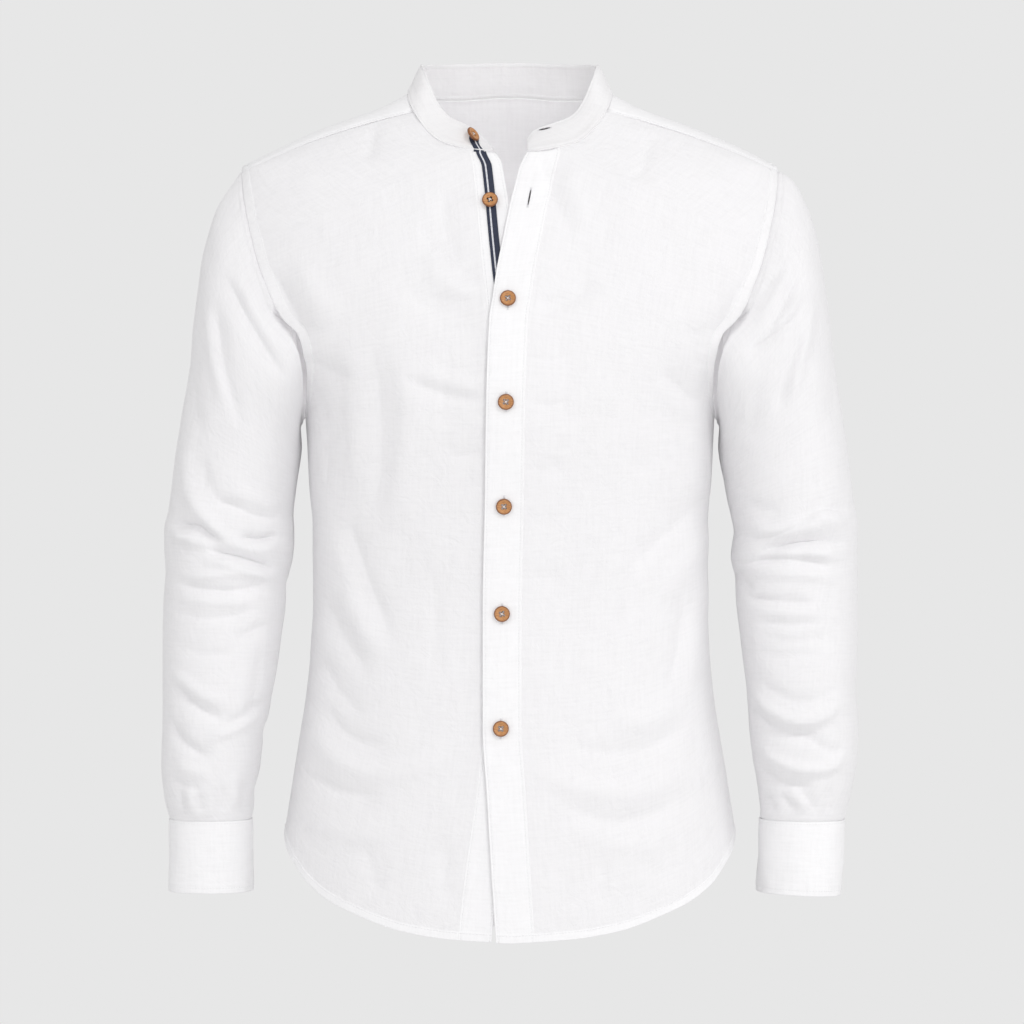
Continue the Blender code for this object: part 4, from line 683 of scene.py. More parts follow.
def neck_ring(count):
    """The neck seam from the front yoke seam on the wearer's right, round the back, to that on the left."""
    meet = np.array([NECK_SEAM_MEET, np.interp(NECK_SEAM_MEET, NECK_AHEAD[:, 0], NECK_AHEAD[:, 1])])
    half = np.concatenate([[meet], NECK_PLAN[NECK_PLAN[:, 1] > meet[1]]])
    height = surface_height(half[:, 0], half[:, 1])
    left = np.column_stack([half, height])
    return resample(np.concatenate([left * MIRROR, left[-2::-1]]), count)


def arch_way(points):
    """The inverse of arch_points for places near the neck."""
    x, y, z = points.T
    ridge, front_end, back_end = shoulder_heights(x)
    down = np.maximum(ridge - z, 0.0)
    return np.where(y > 0.0, np.sqrt(down / (ridge - back_end)), -np.sqrt(down / (ridge - front_end)))


# How far the placket's edge and the band's free side are cut back towards the neck.
NECK_CUT = {
    "z": (-0.130, -0.093, -0.075, -0.065, -0.058, -0.052, -0.046),
    "edge": (0.0, 0.0004, 0.0010, 0.0012, 0.0019, 0.0032, 0.0050),
    "side": (0.0, 0.0009, 0.0020, 0.0024, 0.0028, 0.0044, 0.0085),
}
NECK_CUT_AT = {side: smooth_table(NECK_CUT, "z", side) for side in ("edge", "side")}
BACK_NECK_SHARE = 0.62  # share of the yoke's back seam that lies below the neck


def yoke_grid(shares, side_columns, neck_columns, past=0.0):
    """The yoke from its back seam (share 0) to the neck and the front seams (share 1), a row per share.

    past is how far it runs on beyond the front seams, as a share of the shoulder's arch."""
    ring = neck_ring(neck_columns + 1)
    back_reach = ARMHOLE_REACH["back"](BACK_SEAM_END)
    across = np.linspace(0.0, 1.0, side_columns + 1)
    seam = front_rows(1.0, [], [], [1.0], across)[-1, :, 0]
    top_x = np.concatenate([-seam[:0:-1], ring[:, 0], seam[1:]])
    side_way = np.full(side_columns, -1.0 - past)
    top_way = np.concatenate([side_way, np.maximum(arch_way(ring), -1.0 - past), side_way])
    side_end = back_reach * BACK_NECK_SHARE
    beside = np.linspace(side_end, back_reach, side_columns + 1)[1:]
    foot = np.concatenate([-beside[::-1], np.linspace(-side_end, side_end, neck_columns + 1), beside])
    rows = []
    for share in shares:
        way = lerp(1.0, top_way, share)
        x = lerp(foot, top_x, share)
        z = arch_points(x, way)[:, 2]
        for j in (0, -1):
            x[j] = math.copysign(ARMHOLE_REACH["back" if way[j] > 0.0 else "front"](z[j]), x[j])
        rows.append(arch_points(x, way))
    return np.array(rows)


def front_strip(edge, width, levels, across, bottom=None, cut=(0.0, 0.0)):
    """A strip down the front from the hem to the neck, between x = edge(z) and that plus its width.

    levels run from 0 at its foot to 1 at the neck, and across from 0 at the edge to 1. cut holds how far its
    edge and its other side are cut back, in units of what NECK_CUT gives for each level."""
    reach = width * across
    low = HEM_HEIGHT["front"](HEM_MIDDLE)
    top = neck_front_height(edge(NECK_CORNER) + reach)
    hem = HEM_HEIGHT["front"](np.abs(edge(low) + reach) / HALF_WIDTH(low))
    foot = hem if bottom is None else bottom
    rows = []
    for level in levels:
        z = lerp(foot, top, level)
        first, last = (share * NECK_CUT_AT[side](z) for side, share in zip(NECK_CUT_AT, cut))
        x = edge(z) + reach + first * (1.0 - across) - last * across
        rows.append(torso_points(x, z, "front"))
    return np.array(rows)


# ---- the collar -------------------------------------------------------------------------------------
COLLAR_END = 0.0140
COLLAR_CORNERS = {
    "along": (0.000, 0.003, 0.007, 0.012, 0.020, 0.030, 0.045),
    "right": (0.0040, 0.0085, 0.0135, 0.0185, 0.0240, 0.0280, COLLAR_HEIGHT),
    "left": (0.0135, 0.0200, 0.0245, 0.0268, 0.0285, 0.0295, COLLAR_HEIGHT),
}
COLLAR_LEAN = {
    "round": (0.00, 0.25, 0.50, 0.75, 1.00),
    "lean": (38.0, 34.0, 28.0, 20.0, 13.0),
    "seam": (0.0012, 0.0015, 0.0016, 0.0013, 0.0009),
}
COLLAR_CURL = {"right": 0.0160, "left": 0.0045}
CURL_REACH = 0.034
FOOT_CURL = 0.25
COLLAR_BOW = 0.0012
COLLAR_STEPS = 61  # points of the neck's seam between which the collar's way inwards is taken
# What the collar's top edge differs from the solid's by, seen in the picture: height and distance outwards.
COLLAR_TRIM = {
    "round": (0.00, 0.28, 0.40, 0.47, 0.53, 0.60, 0.667, 0.80, 0.90, 1.00),
    "height": (0.0, 0.0, -0.0005, -0.0025, -0.0030, -0.0012, 0.0012, 0.0018, 0.0008, 0.0),
    "out": (0.0, 0.0008, 0.0030, 0.0028, 0.0020, 0.0010, 0.0004, 0.0, 0.0, 0.0),
}


def neck_path():
    """The whole neck seam, from the collar's end on the wearer's right round the back to that on the left."""
    half = NECK_PLAN[(NECK_PLAN[:, 0] > COLLAR_END) | (NECK_PLAN[:, 1] > 0.0)]
    left = np.column_stack([half, surface_height(half[:, 0], half[:, 1])])
    return np.concatenate([left * MIRROR, left[-2::-1]])


COLLAR_PATH = neck_path()
COLLAR_LENGTH = lengths_along(COLLAR_PATH)[-1]


def collar_grid(alongs, ups, out=0.0):
    """The collar's middle surface, or one that far outside it: a row per share of its height."""
    path = along_line(COLLAR_PATH, lengths_along(COLLAR_PATH), alongs)
    steps = np.gradient(resample(COLLAR_PATH, COLLAR_STEPS), axis=0)
    ahead = unit(along_line(steps, np.linspace(0.0, COLLAR_LENGTH, COLLAR_STEPS), alongs) * [1.0, 1.0, 0.0])
    inward = np.stack([ahead[:, 1], -ahead[:, 0], 0.0 * alongs], axis=1)
    along = {"right": alongs, "left": COLLAR_LENGTH - alongs}
    height = np.minimum(*(smooth_table(COLLAR_CORNERS, "along", end)(along[end]) for end in along))
    round_to = 1.0 - np.abs(2.0 * alongs / COLLAR_LENGTH - 1.0)
    lean = np.radians(smooth_table(COLLAR_LEAN, "round", "lean")(round_to))[:, None]
    seam = smooth_table(COLLAR_LEAN, "round", "seam")(round_to)
    rise = np.array([0.0, 0.0, 1.0]) * np.cos(lean) + inward * np.sin(lean)
    height = height + smooth_table(COLLAR_TRIM, "round", "height")(round_to)
    trim = smooth_table(COLLAR_TRIM, "round", "out")(round_to)
    curl = sum(COLLAR_CURL[end] * np.maximum(1.0 - along[end] / CURL_REACH, 0.0) ** 2 for end in along)
    rows = []
    for up in ups:
        bow = COLLAR_BOW * math.sin(math.pi * np.clip(up, 0.0, 1.0))
        push = lerp(FOOT_CURL, 1.0, up) * curl - trim * up - bow - out
        rows.append(path + rise * (seam + height * up)[:, None] + inward * push[:, None])
    return np.array(rows)


# ---- sleeves and cuffs ------------------------------------------------------------------------------
ARMHOLE_SAMPLES = 240
SLEEVE_HEAD = 0.34
SLEEVE_START = 0.0012
SLEEVE_LEAVE = 0.08
UNDERARM_CLEAR = 0.0020
SLEEVE_SQUARENESS = 2.15
CUFF_START = math.radians(-78.0)
CUFF_TURN = math.radians(392.0)
CUFF_LAP = 0.0023
SLEEVE_TABLES = {-1: SLEEVE_RIGHT, 1: SLEEVE_LEFT}
CUFF_TABLES = {-1: CUFF_RIGHT, 1: CUFF_LEFT}


def armhole_curve():
    """The armhole from the shoulder down the front to the underarm and up the back, on the wearer's left."""
    levels = np.linspace(ARMHOLE_TOP, UNDERARM, 121)
    ridge = [[SHOULDER["x"][-1], 0.0, SHOULDER["z"][-1]]]
    arcs = [resample(np.concatenate([ridge, torso_points(ARMHOLE_REACH[face](levels), levels, face)]),
                     ARMHOLE_SAMPLES // 2 + 1) for face in ("front", "back")]
    return np.concatenate([arcs[0][:-1], arcs[1][:0:-1]])


ARMHOLE_CURVE = armhole_curve()


def armhole_at(angles):
    spot = (angles / (2.0 * math.pi)) % 1.0 * ARMHOLE_SAMPLES
    low = spot.astype(int) % ARMHOLE_SAMPLES
    part = (spot - np.floor(spot))[..., None]
    return lerp(ARMHOLE_CURVE[low], ARMHOLE_CURVE[(low + 1) % ARMHOLE_SAMPLES], part)


def section(columns, share, angle):
    """Points of a tube's sections, and the sections' centres, for the wearer's left side."""
    share, angle = np.broadcast_arrays(np.asarray(share, float), np.asarray(angle, float))
    value = {name: columns[name](share) for name in columns}
    none = 0.0 * share
    outer, inner = (np.stack([value[f"{end}_x"], none, value[f"{end}_z"]], axis=-1)
                    for end in ("outer", "inner"))
    ahead, behind = (np.stack([none, value[f"{end}_y"], none], axis=-1) for end in ("front", "back"))
    centre = (outer + inner + ahead + behind) / 2.0
    across, along = (np.copysign(np.abs(turn) ** (2.0 / SLEEVE_SQUARENESS), turn)[..., None]
                     for turn in (np.cos(angle), np.sin(angle)))
    return centre + (outer - inner) / 2.0 * across + (ahead - behind) / 2.0 * along, centre


def sleeve_grid(side, shares, angles):
    """The sleeve without folds, a row per share of the way down from the armhole, and the way out of it."""
    columns = row_table(SLEEVE_TABLES[side])
    arm = armhole_at(angles)
    first = section(columns, 0.0, angles)[0]
    leave = unit(section(columns, SLEEVE_LEAVE, angles)[0] - arm) * SLEEVE_START
    leave[:, 0] += UNDERARM_CLEAR * np.maximum(-np.cos(angles), 0.0) ** 2
    points, centres = section(columns, shares[:, None], angles[None, :])
    kept = (1.0 - ease(shares / SLEEVE_HEAD))[:, None, None]
    points = points + (arm + leave - first)[None] * kept
    return points * mirror_to(side), unit(points - centres) * mirror_to(side)


def cuff_grid(side, shares, angles):
    """A cuff's middle surface as a strip that laps over its own start, and the way out of it."""
    points, centres = section(row_table(CUFF_TABLES[side]), np.asarray(shares)[:, None], angles[None, :])
    away = unit(points - centres)
    lap = CUFF_LAP * (angles - CUFF_START) / CUFF_TURN
    return (points + away * lap[None, :, None]) * mirror_to(side), away * mirror_to(side)


# ---- relief: folds, unevenness and seams ------------------------------------------------------------
CAMERA = np.array([0.0017, -3.2, -0.354])
FOLD_ENDS = 0.3  # share of a fold over which it rises from each end
FOLD_REACH = 2.6  # half widths beyond which a fold is nothing
TROUGH_POWER, RIDGE_POWER = 1.35, 2.0  # a trough is a crease between rounder ridges
LATTICE = 64  # cells after which bumps repeat
UPRIGHT = ("first_column", "last_column")
LEVEL = ("first_row", "last_row")


def seen(points):
    """Where the camera sees points, in millimetres on the picture plane y = 0."""
    scale = (CAMERA[1] / (CAMERA[1] - points[..., 1]))[..., None]
    flat = np.array([0, 2])
    return (CAMERA[flat] + (points[..., flat] - CAMERA[flat]) * scale) * 1000.0


def nearest_on(line, at):
    """For places near a line: the distance from it, the side of it, and the share of the way along it."""
    best = np.full(len(at), np.inf)
    side, along = np.zeros(len(at)), np.zeros(len(at))
    lengths = lengths_along(line)
    for start, end, done in zip(line, line[1:], lengths):
        run = end - start
        t = np.clip((at - start) @ run / (run @ run), 0.0, 1.0)
        off = at - start - t[:, None] * run
        away = np.linalg.norm(off, axis=1)
        closer = away < best
        best = np.where(closer, away, best)
        side = np.where(closer, np.sign(off[:, 0] * run[1] - off[:, 1] * run[0]), side)
        along = np.where(closer, done + t * np.linalg.norm(run), along)
    return best, side, along / lengths[-1]


def fold_relief(folds, places):
    """The height of all folds, in metres, at places in millimetres on the picture plane."""
    spots_at = places.reshape(-1, 2)
    total = np.zeros(len(spots_at))
    for height, width, skew, *line in folds:
        line = curved(np.array(line, float).reshape(-1, 2))
        reach = FOLD_REACH * width * (1.0 + abs(skew))
        inside = (spots_at > line.min(axis=0) - reach) & (spots_at < line.max(axis=0) + reach)
        near = np.flatnonzero(np.all(inside, axis=1))
        away, side, share = nearest_on(line, spots_at[near])
        ends = ease(share / FOLD_ENDS) * ease((1.0 - share) / FOLD_ENDS)
        sharp = TROUGH_POWER if height < 0.0 else RIDGE_POWER
        total[near] += height * ends * np.exp(-((away / (width * (1.0 + skew * side))) ** sharp))
    return (total * 0.001).reshape(places.shape[:-1])


def bumps(at, cell, seed):
    """Smooth bumps of about one in height; at holds places and cell the size of a bump, in the same units."""
    lattice = np.random.default_rng(seed).uniform(-1.0, 1.0, (LATTICE, LATTICE))
    spot = np.asarray(at) / cell
    low = np.floor(spot).astype(int)
    part = spot - low
    part = part**3 * (part * (part * 6.0 - 15.0) + 10.0)
    x, y = low[..., 0] % LATTICE, low[..., 1] % LATTICE
    right, above = (x + 1) % LATTICE, (y + 1) % LATTICE
    return lerp(lerp(lattice[x, y], lattice[right, y], part[..., 0]),
                lerp(lattice[x, above], lattice[right, above], part[..., 0]), part[..., 1])


def ripple(along, cell, seed):
    """Bumps along a line."""
    along = np.asarray(along)
    return bumps(np.stack([along, 0.37 * along + cell], axis=-1), cell, seed)


# Unevenness: height in millimetres, size of its bumps across and down, and whether they lie aslant.
DRAPES = ((0.45, (34.0, 95.0), False), (0.22, (19.0, 30.0), True), (0.09, (9.0, 15.0), False))
SLANT = np.array([[0.96, -0.28], [0.28, 0.96]])


def drape(places, seed):
    """The cloth's own slight unevenness, in metres: long soft streaks down it and small ones across."""
    turned = places @ SLANT
    layers = [height * bumps(turned if aslant else places, np.array(cell), seed + k)
              for k, (height, cell, aslant) in enumerate(DRAPES)]
    return sum(layers) * 0.001


PLACKET_PUCKER = 0.00032
PUCKER_REACH = 0.010
SLEEVE_FOLDS = {-1: (SLEEVE_RIGHT_FOLDS, SLEEVE_RIGHT_BACK_FOLDS),
                1: (SLEEVE_LEFT_FOLDS, SLEEVE_LEFT_BACK_FOLDS)}


def torso_relief(points):
    """How far the cloth on the torso stands out from its plain form at points on it."""
    places = seen(points)
    front = fold_relief(FRONT_FOLDS, places) + drape(places, 11)
    back = fold_relief(BACK_FOLDS, places) + drape(places, 23)
    ahead = ease(0.5 - points[..., 1] / 0.06)
    x, z = points[..., 0], points[..., 2]
    for inward, seed in ((PLACKET_WIDTH - 0.002, 31), (0.002, 37)):
        near = np.exp(-(((x - EDGE_OF_PLACKET(z) - inward) / PUCKER_REACH) ** 2))
        front = front + PLACKET_PUCKER * ripple(z, 0.0085, seed) * near
    return lerp(back, front, ahead)


def sleeve_relief(side, points, away):
    """How far a sleeve's cloth stands out; away is the way out of it, without the folds."""
    places = seen(points)
    front, back = (fold_relief(folds, places) + drape(places, seed + side)
                   for folds, seed in zip(SLEEVE_FOLDS[side], (41, 47)))
    return lerp(back, front, ease(0.5 - 1.1 * away[..., 1]))


def from_side(grid, side):
    """How far each point of a grid lies from one of its sides, and how far along that side."""
    rows = grid if side in LEVEL else grid.transpose(1, 0, 2)
    away = np.cumsum(np.pad(np.linalg.norm(np.diff(rows, axis=0), axis=2), ((1, 0), (0, 0))), axis=0)
    last = side.startswith("last")
    away = away[-1:] - away if last else away
    along = lengths_along(rows[-1 if last else 0])[None] + 0.0 * away
    return (away, along) if side in LEVEL else (away.T, along.T)


GROOVE_HALF = 0.0010
BAND_STEP = 0.0012  # over which a band's raised edge falls


def seam_relief(grid, side, width, raised, pucker, seed, pitch=0.0075, groove=0.0):
    """A raised band of that width along a side of the grid, its stitching in a groove with small puckers."""
    away, along = from_side(grid, side)
    band = raised * (1.0 - ease((away - width) / BAND_STEP + 0.5))
    line = np.exp(-(((away - width) / (0.6 * width + 0.003)) ** 2))
    band = band - groove * np.exp(-(((away - width) / GROOVE_HALF) ** 2))
    ripples = ripple(along, pitch, seed) + 0.5 * ripple(along, 2.3 * pitch, seed + 1)
    return band + pucker * ripples * line


def line_from(grid, normals, side, distance):
    """The line that runs that far from a side of a grid: its points and the normals there."""
    away = from_side(grid, side)[0]
    values = np.concatenate([grid, normals], axis=2)
    if side in LEVEL:
        values, away = values.transpose(1, 0, 2), away.T
    way = -1 if side.startswith("last") else 1
    rows = zip(values[:, ::way], away[:, ::way])
    line = np.array([along_line(row, lengths, distance) for row, lengths in rows])
    return line[:, :3], unit(line[:, 3:])


# ---- shells and stitches ----------------------------------------------------------------------------
EDGE_ROUND = 0.45  # a shell's half thickness at its open edges, as a share of that inside
made = {}  # every sheet by its name: the object, its middle surface and its normals


def grid_normals(grid, closed=False):
    """Unit normals of a grid, on the side where it faces out from the middle of its rows."""
    down = np.gradient(grid, axis=0)
    across = np.roll(grid, -1, axis=1) - np.roll(grid, 1, axis=1) if closed else np.gradient(grid, axis=1)
    return unit(np.cross(across, down))


def facing_out(normals, outward):
    return 1.0 if float(np.sum(normals * outward)) > 0.0 else -1.0


def edged(grid, distance, sides):
    """The grid with an extra row or column close to each of the named sides, for a rounded edge."""
    for side in sides:
        rows = grid if side in LEVEL else grid.transpose(1, 0, 2)
        way = -1 if side.startswith("last") else 1
        rows = rows[::way]
        step = rows[1] - rows[0]
        extra = rows[0] + unit(step) * np.minimum(distance, 0.5 * np.linalg.norm(step, axis=1))[:, None]
        rows = np.concatenate([rows[:1], extra[None], rows[1:]])[::way]
        grid = rows if side in LEVEL else rows.transpose(1, 0, 2)
    return grid


def put(name, data):
    """A new object with that data, in the scene."""
    thing = bpy.data.objects.new(name, data)
    bpy.context.scene.collection.objects.link(thing)
    return thing


def mesh_from(name, points, faces, *finishes):
    data = bpy.data.meshes.new(name)
    data.from_pydata(points, [], faces)
    data.validate()
    data.update()
    data.shade_smooth()
    for finish in finishes:
        data.materials.append(finish)
    shape = put(name, data)
    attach(shape, "root")
    return shape


def map_onto(data, name, flat):
    """A UV map on which each vertex lies at its row of flat, and so do those on the other skin of a shell."""
    corners = np.zeros(len(data.loops), dtype=int)
    data.loops.foreach_get("vertex_index", corners)
    data.uv_layers.new(name=name).uv.foreach_set("vector", flat[corners % len(flat)].ravel())


def spans(grid, closed):
    """The distances from each point of a grid to the next one across and to the next one down."""
    across = np.diff(grid, axis=1, append=grid[:, :1] if closed else grid[:, -1:])
    return np.linalg.norm(across, axis=2), np.linalg.norm(np.diff(grid, axis=0), axis=2)


def quads(index, following):
    """Faces between the rows of an index of vertices; following holds the next vertex in each row."""
    return np.stack([index[:-1], following[:-1], following[1:], index[1:]], axis=-1).reshape(-1, 4)


def cloth(name, grid, outward, thickness, finish, node, closed=False, inside=None, middle=0.5, bands=()):
    """A thin rounded shell with the grid as its middle surface, which replaces a solid.

    outward gives the way out at each point. inside is the finish of the inner face. The map's middle lies at
    that share of each row. bands are (side, width, first row, finish): turned-in, whiter cloth."""
    grid = edged(grid, 0.5 * thickness, LEVEL if closed else LEVEL + UPRIGHT)
    normals = grid_normals(grid, closed)
    way = facing_out(normals, outward(grid))
    normals = normals * way
    half = np.full(grid.shape[:2], thickness / 2.0)
    half[[0, -1]] *= EDGE_ROUND
    if not closed:
        half[:, [0, -1]] *= EDGE_ROUND
    out = normals * half[..., None]
    points = np.concatenate([skin.reshape(-1, 3) for skin in (grid + out, grid - out)])
    other = half.size  # from a vertex's number to that on the inner face
    index = np.arange(other).reshape(half.shape)
    here, following = (index, np.roll(index, -1, axis=1)) if closed else (index[:, :-1], index[:, 1:])
    outer = quads(here, following)
    rims = [(here[-1], following[-1]), (following[0], here[0])]
    if not closed:
        rims += [(index[:-1, 0], index[1:, 0]), (index[1:, -1], index[:-1, -1])]
    rims = [np.stack([a, b, b + other, a + other], axis=-1) for a, b in rims]
    faces = np.concatenate([outer, outer[:, ::-1] + other, *rims])
    if way < 0.0:
        faces = faces[:, ::-1]
    finishes = [finish] + ([inside] if inside else [])
    kinds = np.zeros(len(faces), dtype=int)
    kinds[len(outer):2 * len(outer)] = len(finishes) - 1
    for side, width, first_row, band_finish in bands:
        away = from_side(grid, side)[0]
        within = (away[:-1, :-1] + away[1:, 1:]) / 2.0 < width
        within[:first_row] = False
        kinds[:len(outer)][within.ravel()] = len(finishes)
        finishes.append(band_finish)
    shape = mesh_from(name, points, faces.tolist(), *finishes)
    shape.data.polygons.foreach_set("material_index", kinds)
    across, down = spans(grid, closed)
    u = np.cumsum(across, axis=1) - across - across.sum(axis=1, keepdims=True) * middle
    v = np.concatenate([[0.0], np.cumsum(down.mean(axis=1))])[:, None] + 0.0 * u
    map_onto(shape.data, "cloth", np.stack([u, v], axis=-1).reshape(-1, 2))
    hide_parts(node)
    made[name] = (shape, grid, normals)
    return shape


def declare(name, rests_on):
    """Takes the spans of a sheet's middle surface and the list of what it rests on, and keeps neither."""
    shape, grid, _ = made[name]
    across, down = spans(grid, shape.get("closed_tube", False))
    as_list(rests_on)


def hoop(middle, aside, over, radius, sides):
    """Rings of points round middles, in the plane of two ways."""
    turn = 2.0 * math.pi * np.arange(sides) / sides
    return middle[:, None] + radius * (aside[:, None] * np.cos(turn)[None, :, None]
                                       + over[:, None] * np.sin(turn)[None, :, None])


BEAD_SIDES = 5
BEAD_RINGS = (0.22, 0.78)  # shares of a stitch at which it is widest
BEAD_FLAT = 0.8


def bead_faces():
    """The faces of one stitch: its first tip, two rings of points and its last tip."""
    found = []
    for k in range(BEAD_SIDES):
        near, next_near = 1 + k, 1 + (k + 1) % BEAD_SIDES
        far, next_far = near + BEAD_SIDES, next_near + BEAD_SIDES
        found += [(0, near, next_near), (next_near, near, next_far), (next_far, near, far),
                  (next_far, far, 2 * BEAD_SIDES + 1)]
    return np.array(found)


def stitches(name, lines, finish, length=0.0021, gap=0.0005, radius=0.00030):
    """Rows of stitches: each line is (points, normals), and each stitch a small pointed bead of thread."""
    points, faces, done = [], [], 0
    for line, normals in lines:
        lengths = lengths_along(line)
        count = max(int(lengths[-1] / (length + gap)), 1)
        pitch = lengths[-1] / count
        start = (np.arange(count) + 0.5 * (1.0 - length / pitch)) * pitch
        up = unit(along_line(normals, lengths, start + 0.5 * length))
        tips = [along_line(line, lengths, at) - up * 0.4 * radius for at in (start, start + length)]
        aside = unit(np.cross(unit(tips[1] - tips[0]), up))
        rings = [hoop(lerp(*tips, share) + up * 0.35 * radius, aside, BEAD_FLAT * up, radius, BEAD_SIDES)
                 for share in BEAD_RINGS]
        block = np.concatenate([tips[0][:, None], *rings, tips[1][:, None]], axis=1)
        base = done + np.arange(count)[:, None, None] * block.shape[1]
        faces.append((base + bead_faces()[None]).reshape(-1, 3))
        points.append(block.reshape(-1, 3))
        done += len(points[-1])
    shape = mesh_from(name, np.concatenate(points), np.concatenate(faces).tolist(), finish)
    return shape


# ---- materials --------------------------------------------------------------------------------------
def fill(node, numbered=(), **named):
    """Sets a node's inputs, by number or by name, and its settings: a socket is joined on, not copied."""
    for key, value in (*dict(numbered).items(), *named.items()):
        place = key.replace("_", " ") if isinstance(key, str) else key
        if isinstance(key, str) and place not in node.inputs:
            setattr(node, key, value)
        elif isinstance(value, bpy.types.NodeSocket):
            node.id_data.links.new(value, node.inputs[place])
        else:
            node.inputs[place].default_value = value


def adder(tree):
    """A function that adds a node to the tree, fills it and returns one of its outputs."""

    def add(kind, output, numbered=(), **named):
        node = tree.nodes.new(f"ShaderNode{kind}")
        fill(node, numbered, **named)
        return node.outputs[output]

    return add


def new_finish(name, roughness, sheen=0.0):
    """A new material, its shader, its output and the function that adds nodes to it."""
    finish = bpy.data.materials.new(name)
    finish.use_nodes = True
    shader, end = (finish.node_tree.nodes[kind] for kind in ("Principled BSDF", "Material Output"))
    fill(shader, Roughness=roughness, Sheen_Weight=sheen, Sheen_Roughness=0.45)
    return finish, shader, end, adder(finish.node_tree)


def ramp(add, share, stops, sharp=False):
    """The colour at a share on a ramp whose stops are (place, colour)."""
    found = add("ValToRGB", "Color", Fac=share)
    scale = found.node.color_ramp
    if sharp:
        scale.interpolation = "CONSTANT"
    while len(scale.elements) < len(stops):
        scale.elements.new(0.5)
    for element, (place, colour) in zip(scale.elements, stops):
        element.position = place
        element.color = (*colour, 1.0)
    return found


def scaled(colour, factor, most=1.0):
    return tuple(min(part * factor, most) for part in colour)


def cotton(name, colour, slub=0.5, crease=0.35, through=0.0, sheen=0.30):
    """White cotton with a linen look: a plain weave, slubs both ways and fine creases, along the cloth."""
    finish, shader, end, add = new_finish(name, 0.86, sheen)
    place = add("UVMap", "UV", uv_map="cloth")
    streaks, threads = {}, {}
    for k, squeeze in enumerate(((40.0, 460.0, 1.0), (380.0, 30.0, 1.0))):
        run = add("Mapping", "Vector", Vector=place, Scale=squeeze)
        streaks[k] = add("TexNoise", "Fac", Vector=run, Scale=1.0, Detail=3.0, Roughness=0.6)
    for k, direction in enumerate(("X", "Y")):
        threads[k] = add("TexWave", "Fac", Vector=place, bands_direction=direction, Scale=560.0,
                         Distortion=0.6, Detail=1.0)
    both = add("Math", 0, streaks, operation="ADD")
    weave = add("Math", 0, threads, operation="ADD")
    blotch = add("TexNoise", "Fac", Vector=place, Scale=26.0, Detail=3.0, Roughness=0.55)
    whole = add("Math", 0, {0: blotch, 1: 0.35, 2: both}, operation="MULTIPLY_ADD")
    share = add("Math", 0, {0: whole, 1: 0.43}, operation="MULTIPLY")
    low, high = scaled(colour, 0.952), scaled(colour, 1.030, 0.96)
    tint = ramp(add, share, ((0.30, low), (0.50, colour), (0.72, high)))
    relief = add("Math", 0, {0: both, 1: slub, 2: weave}, operation="MULTIPLY_ADD")
    fine = add("Bump", "Normal", Height=relief, Strength=0.35, Distance=0.00016)
    wrinkles = add("TexNoise", "Fac", Vector=place, Scale=70.0, Detail=4.0, Roughness=0.62, Distortion=0.8)
    soft = add("Bump", "Normal", Height=wrinkles, Normal=fine, Strength=crease, Distance=0.0016)
    fill(shader, Base_Color=tint, Normal=soft)
    if through:
        let_through = add("BsdfTranslucent", 0, Color=(*colour, 1.0))
        fill(end, Surface=add("MixShader", 0, {0: through, 1: shader.outputs[0], 2: let_through}))
    return finish


def thread(name, colour):
    """Twisted thread, too fine to show more than its sheen and a slight change of shade."""
    finish, shader, _, add = new_finish(name, 0.55, 0.1)
    twist = add("TexNoise", "Fac", Vector=add("TexCoord", "Object"), Scale=900.0, Detail=2.0)
    bump = add("Bump", "Normal", Height=twist, Strength=0.4, Distance=0.0001)
    fill(shader, Base_Color=ramp(add, twist, ((0.3, scaled(colour, 0.93)), (0.7, colour))), Normal=bump)
    return finish


BLACK, WHITE = (0.0,) * 3, (1.0,) * 3


def striped_ribbon(name, dashes):
    """Navy ribbon with a white stripe: its UV map runs from 0 to 1 across it, and in metres down it."""
    finish, shader, _, add = new_finish(name, 0.62, 0.12)
    place = add("UVMap", "UV", uv_map="stripe")
    across = add("SeparateXYZ", "X", {0: place})
    stripe = ramp(add, across, ((0.0, BLACK), (dashes[0], WHITE), (dashes[1], BLACK)), sharp=True)
    ribs = add("TexWave", "Fac", Vector=place, bands_direction="Y", Scale=300.0, Distortion=0.8, Detail=1.0)
    navy = ramp(add, ribs, ((0.2, (0.006, 0.010, 0.028)), (0.8, (0.020, 0.030, 0.066))))
    white = ramp(add, ribs, ((0.15, (0.24, 0.26, 0.33)), (0.42, (0.90, 0.90, 0.92))))
    bump = add("Bump", "Normal", Height=ribs, Strength=0.5, Distance=0.0002)
    fill(shader, Base_Color=add("Mix", 2, {0: stripe, 6: navy, 7: white}, data_type="RGBA"), Normal=bump)
    return finish


WOOD_STOPS = ((0.30, (0.33, 0.140, 0.046)), (0.50, (0.50, 0.228, 0.078)), (0.70, (0.66, 0.335, 0.132)))
BURNT = (0.46, 0.36, 0.30, 1.0)  # what the rim's colour is multiplied by
RIM_START, RIM_END = 0.0051, 0.0063


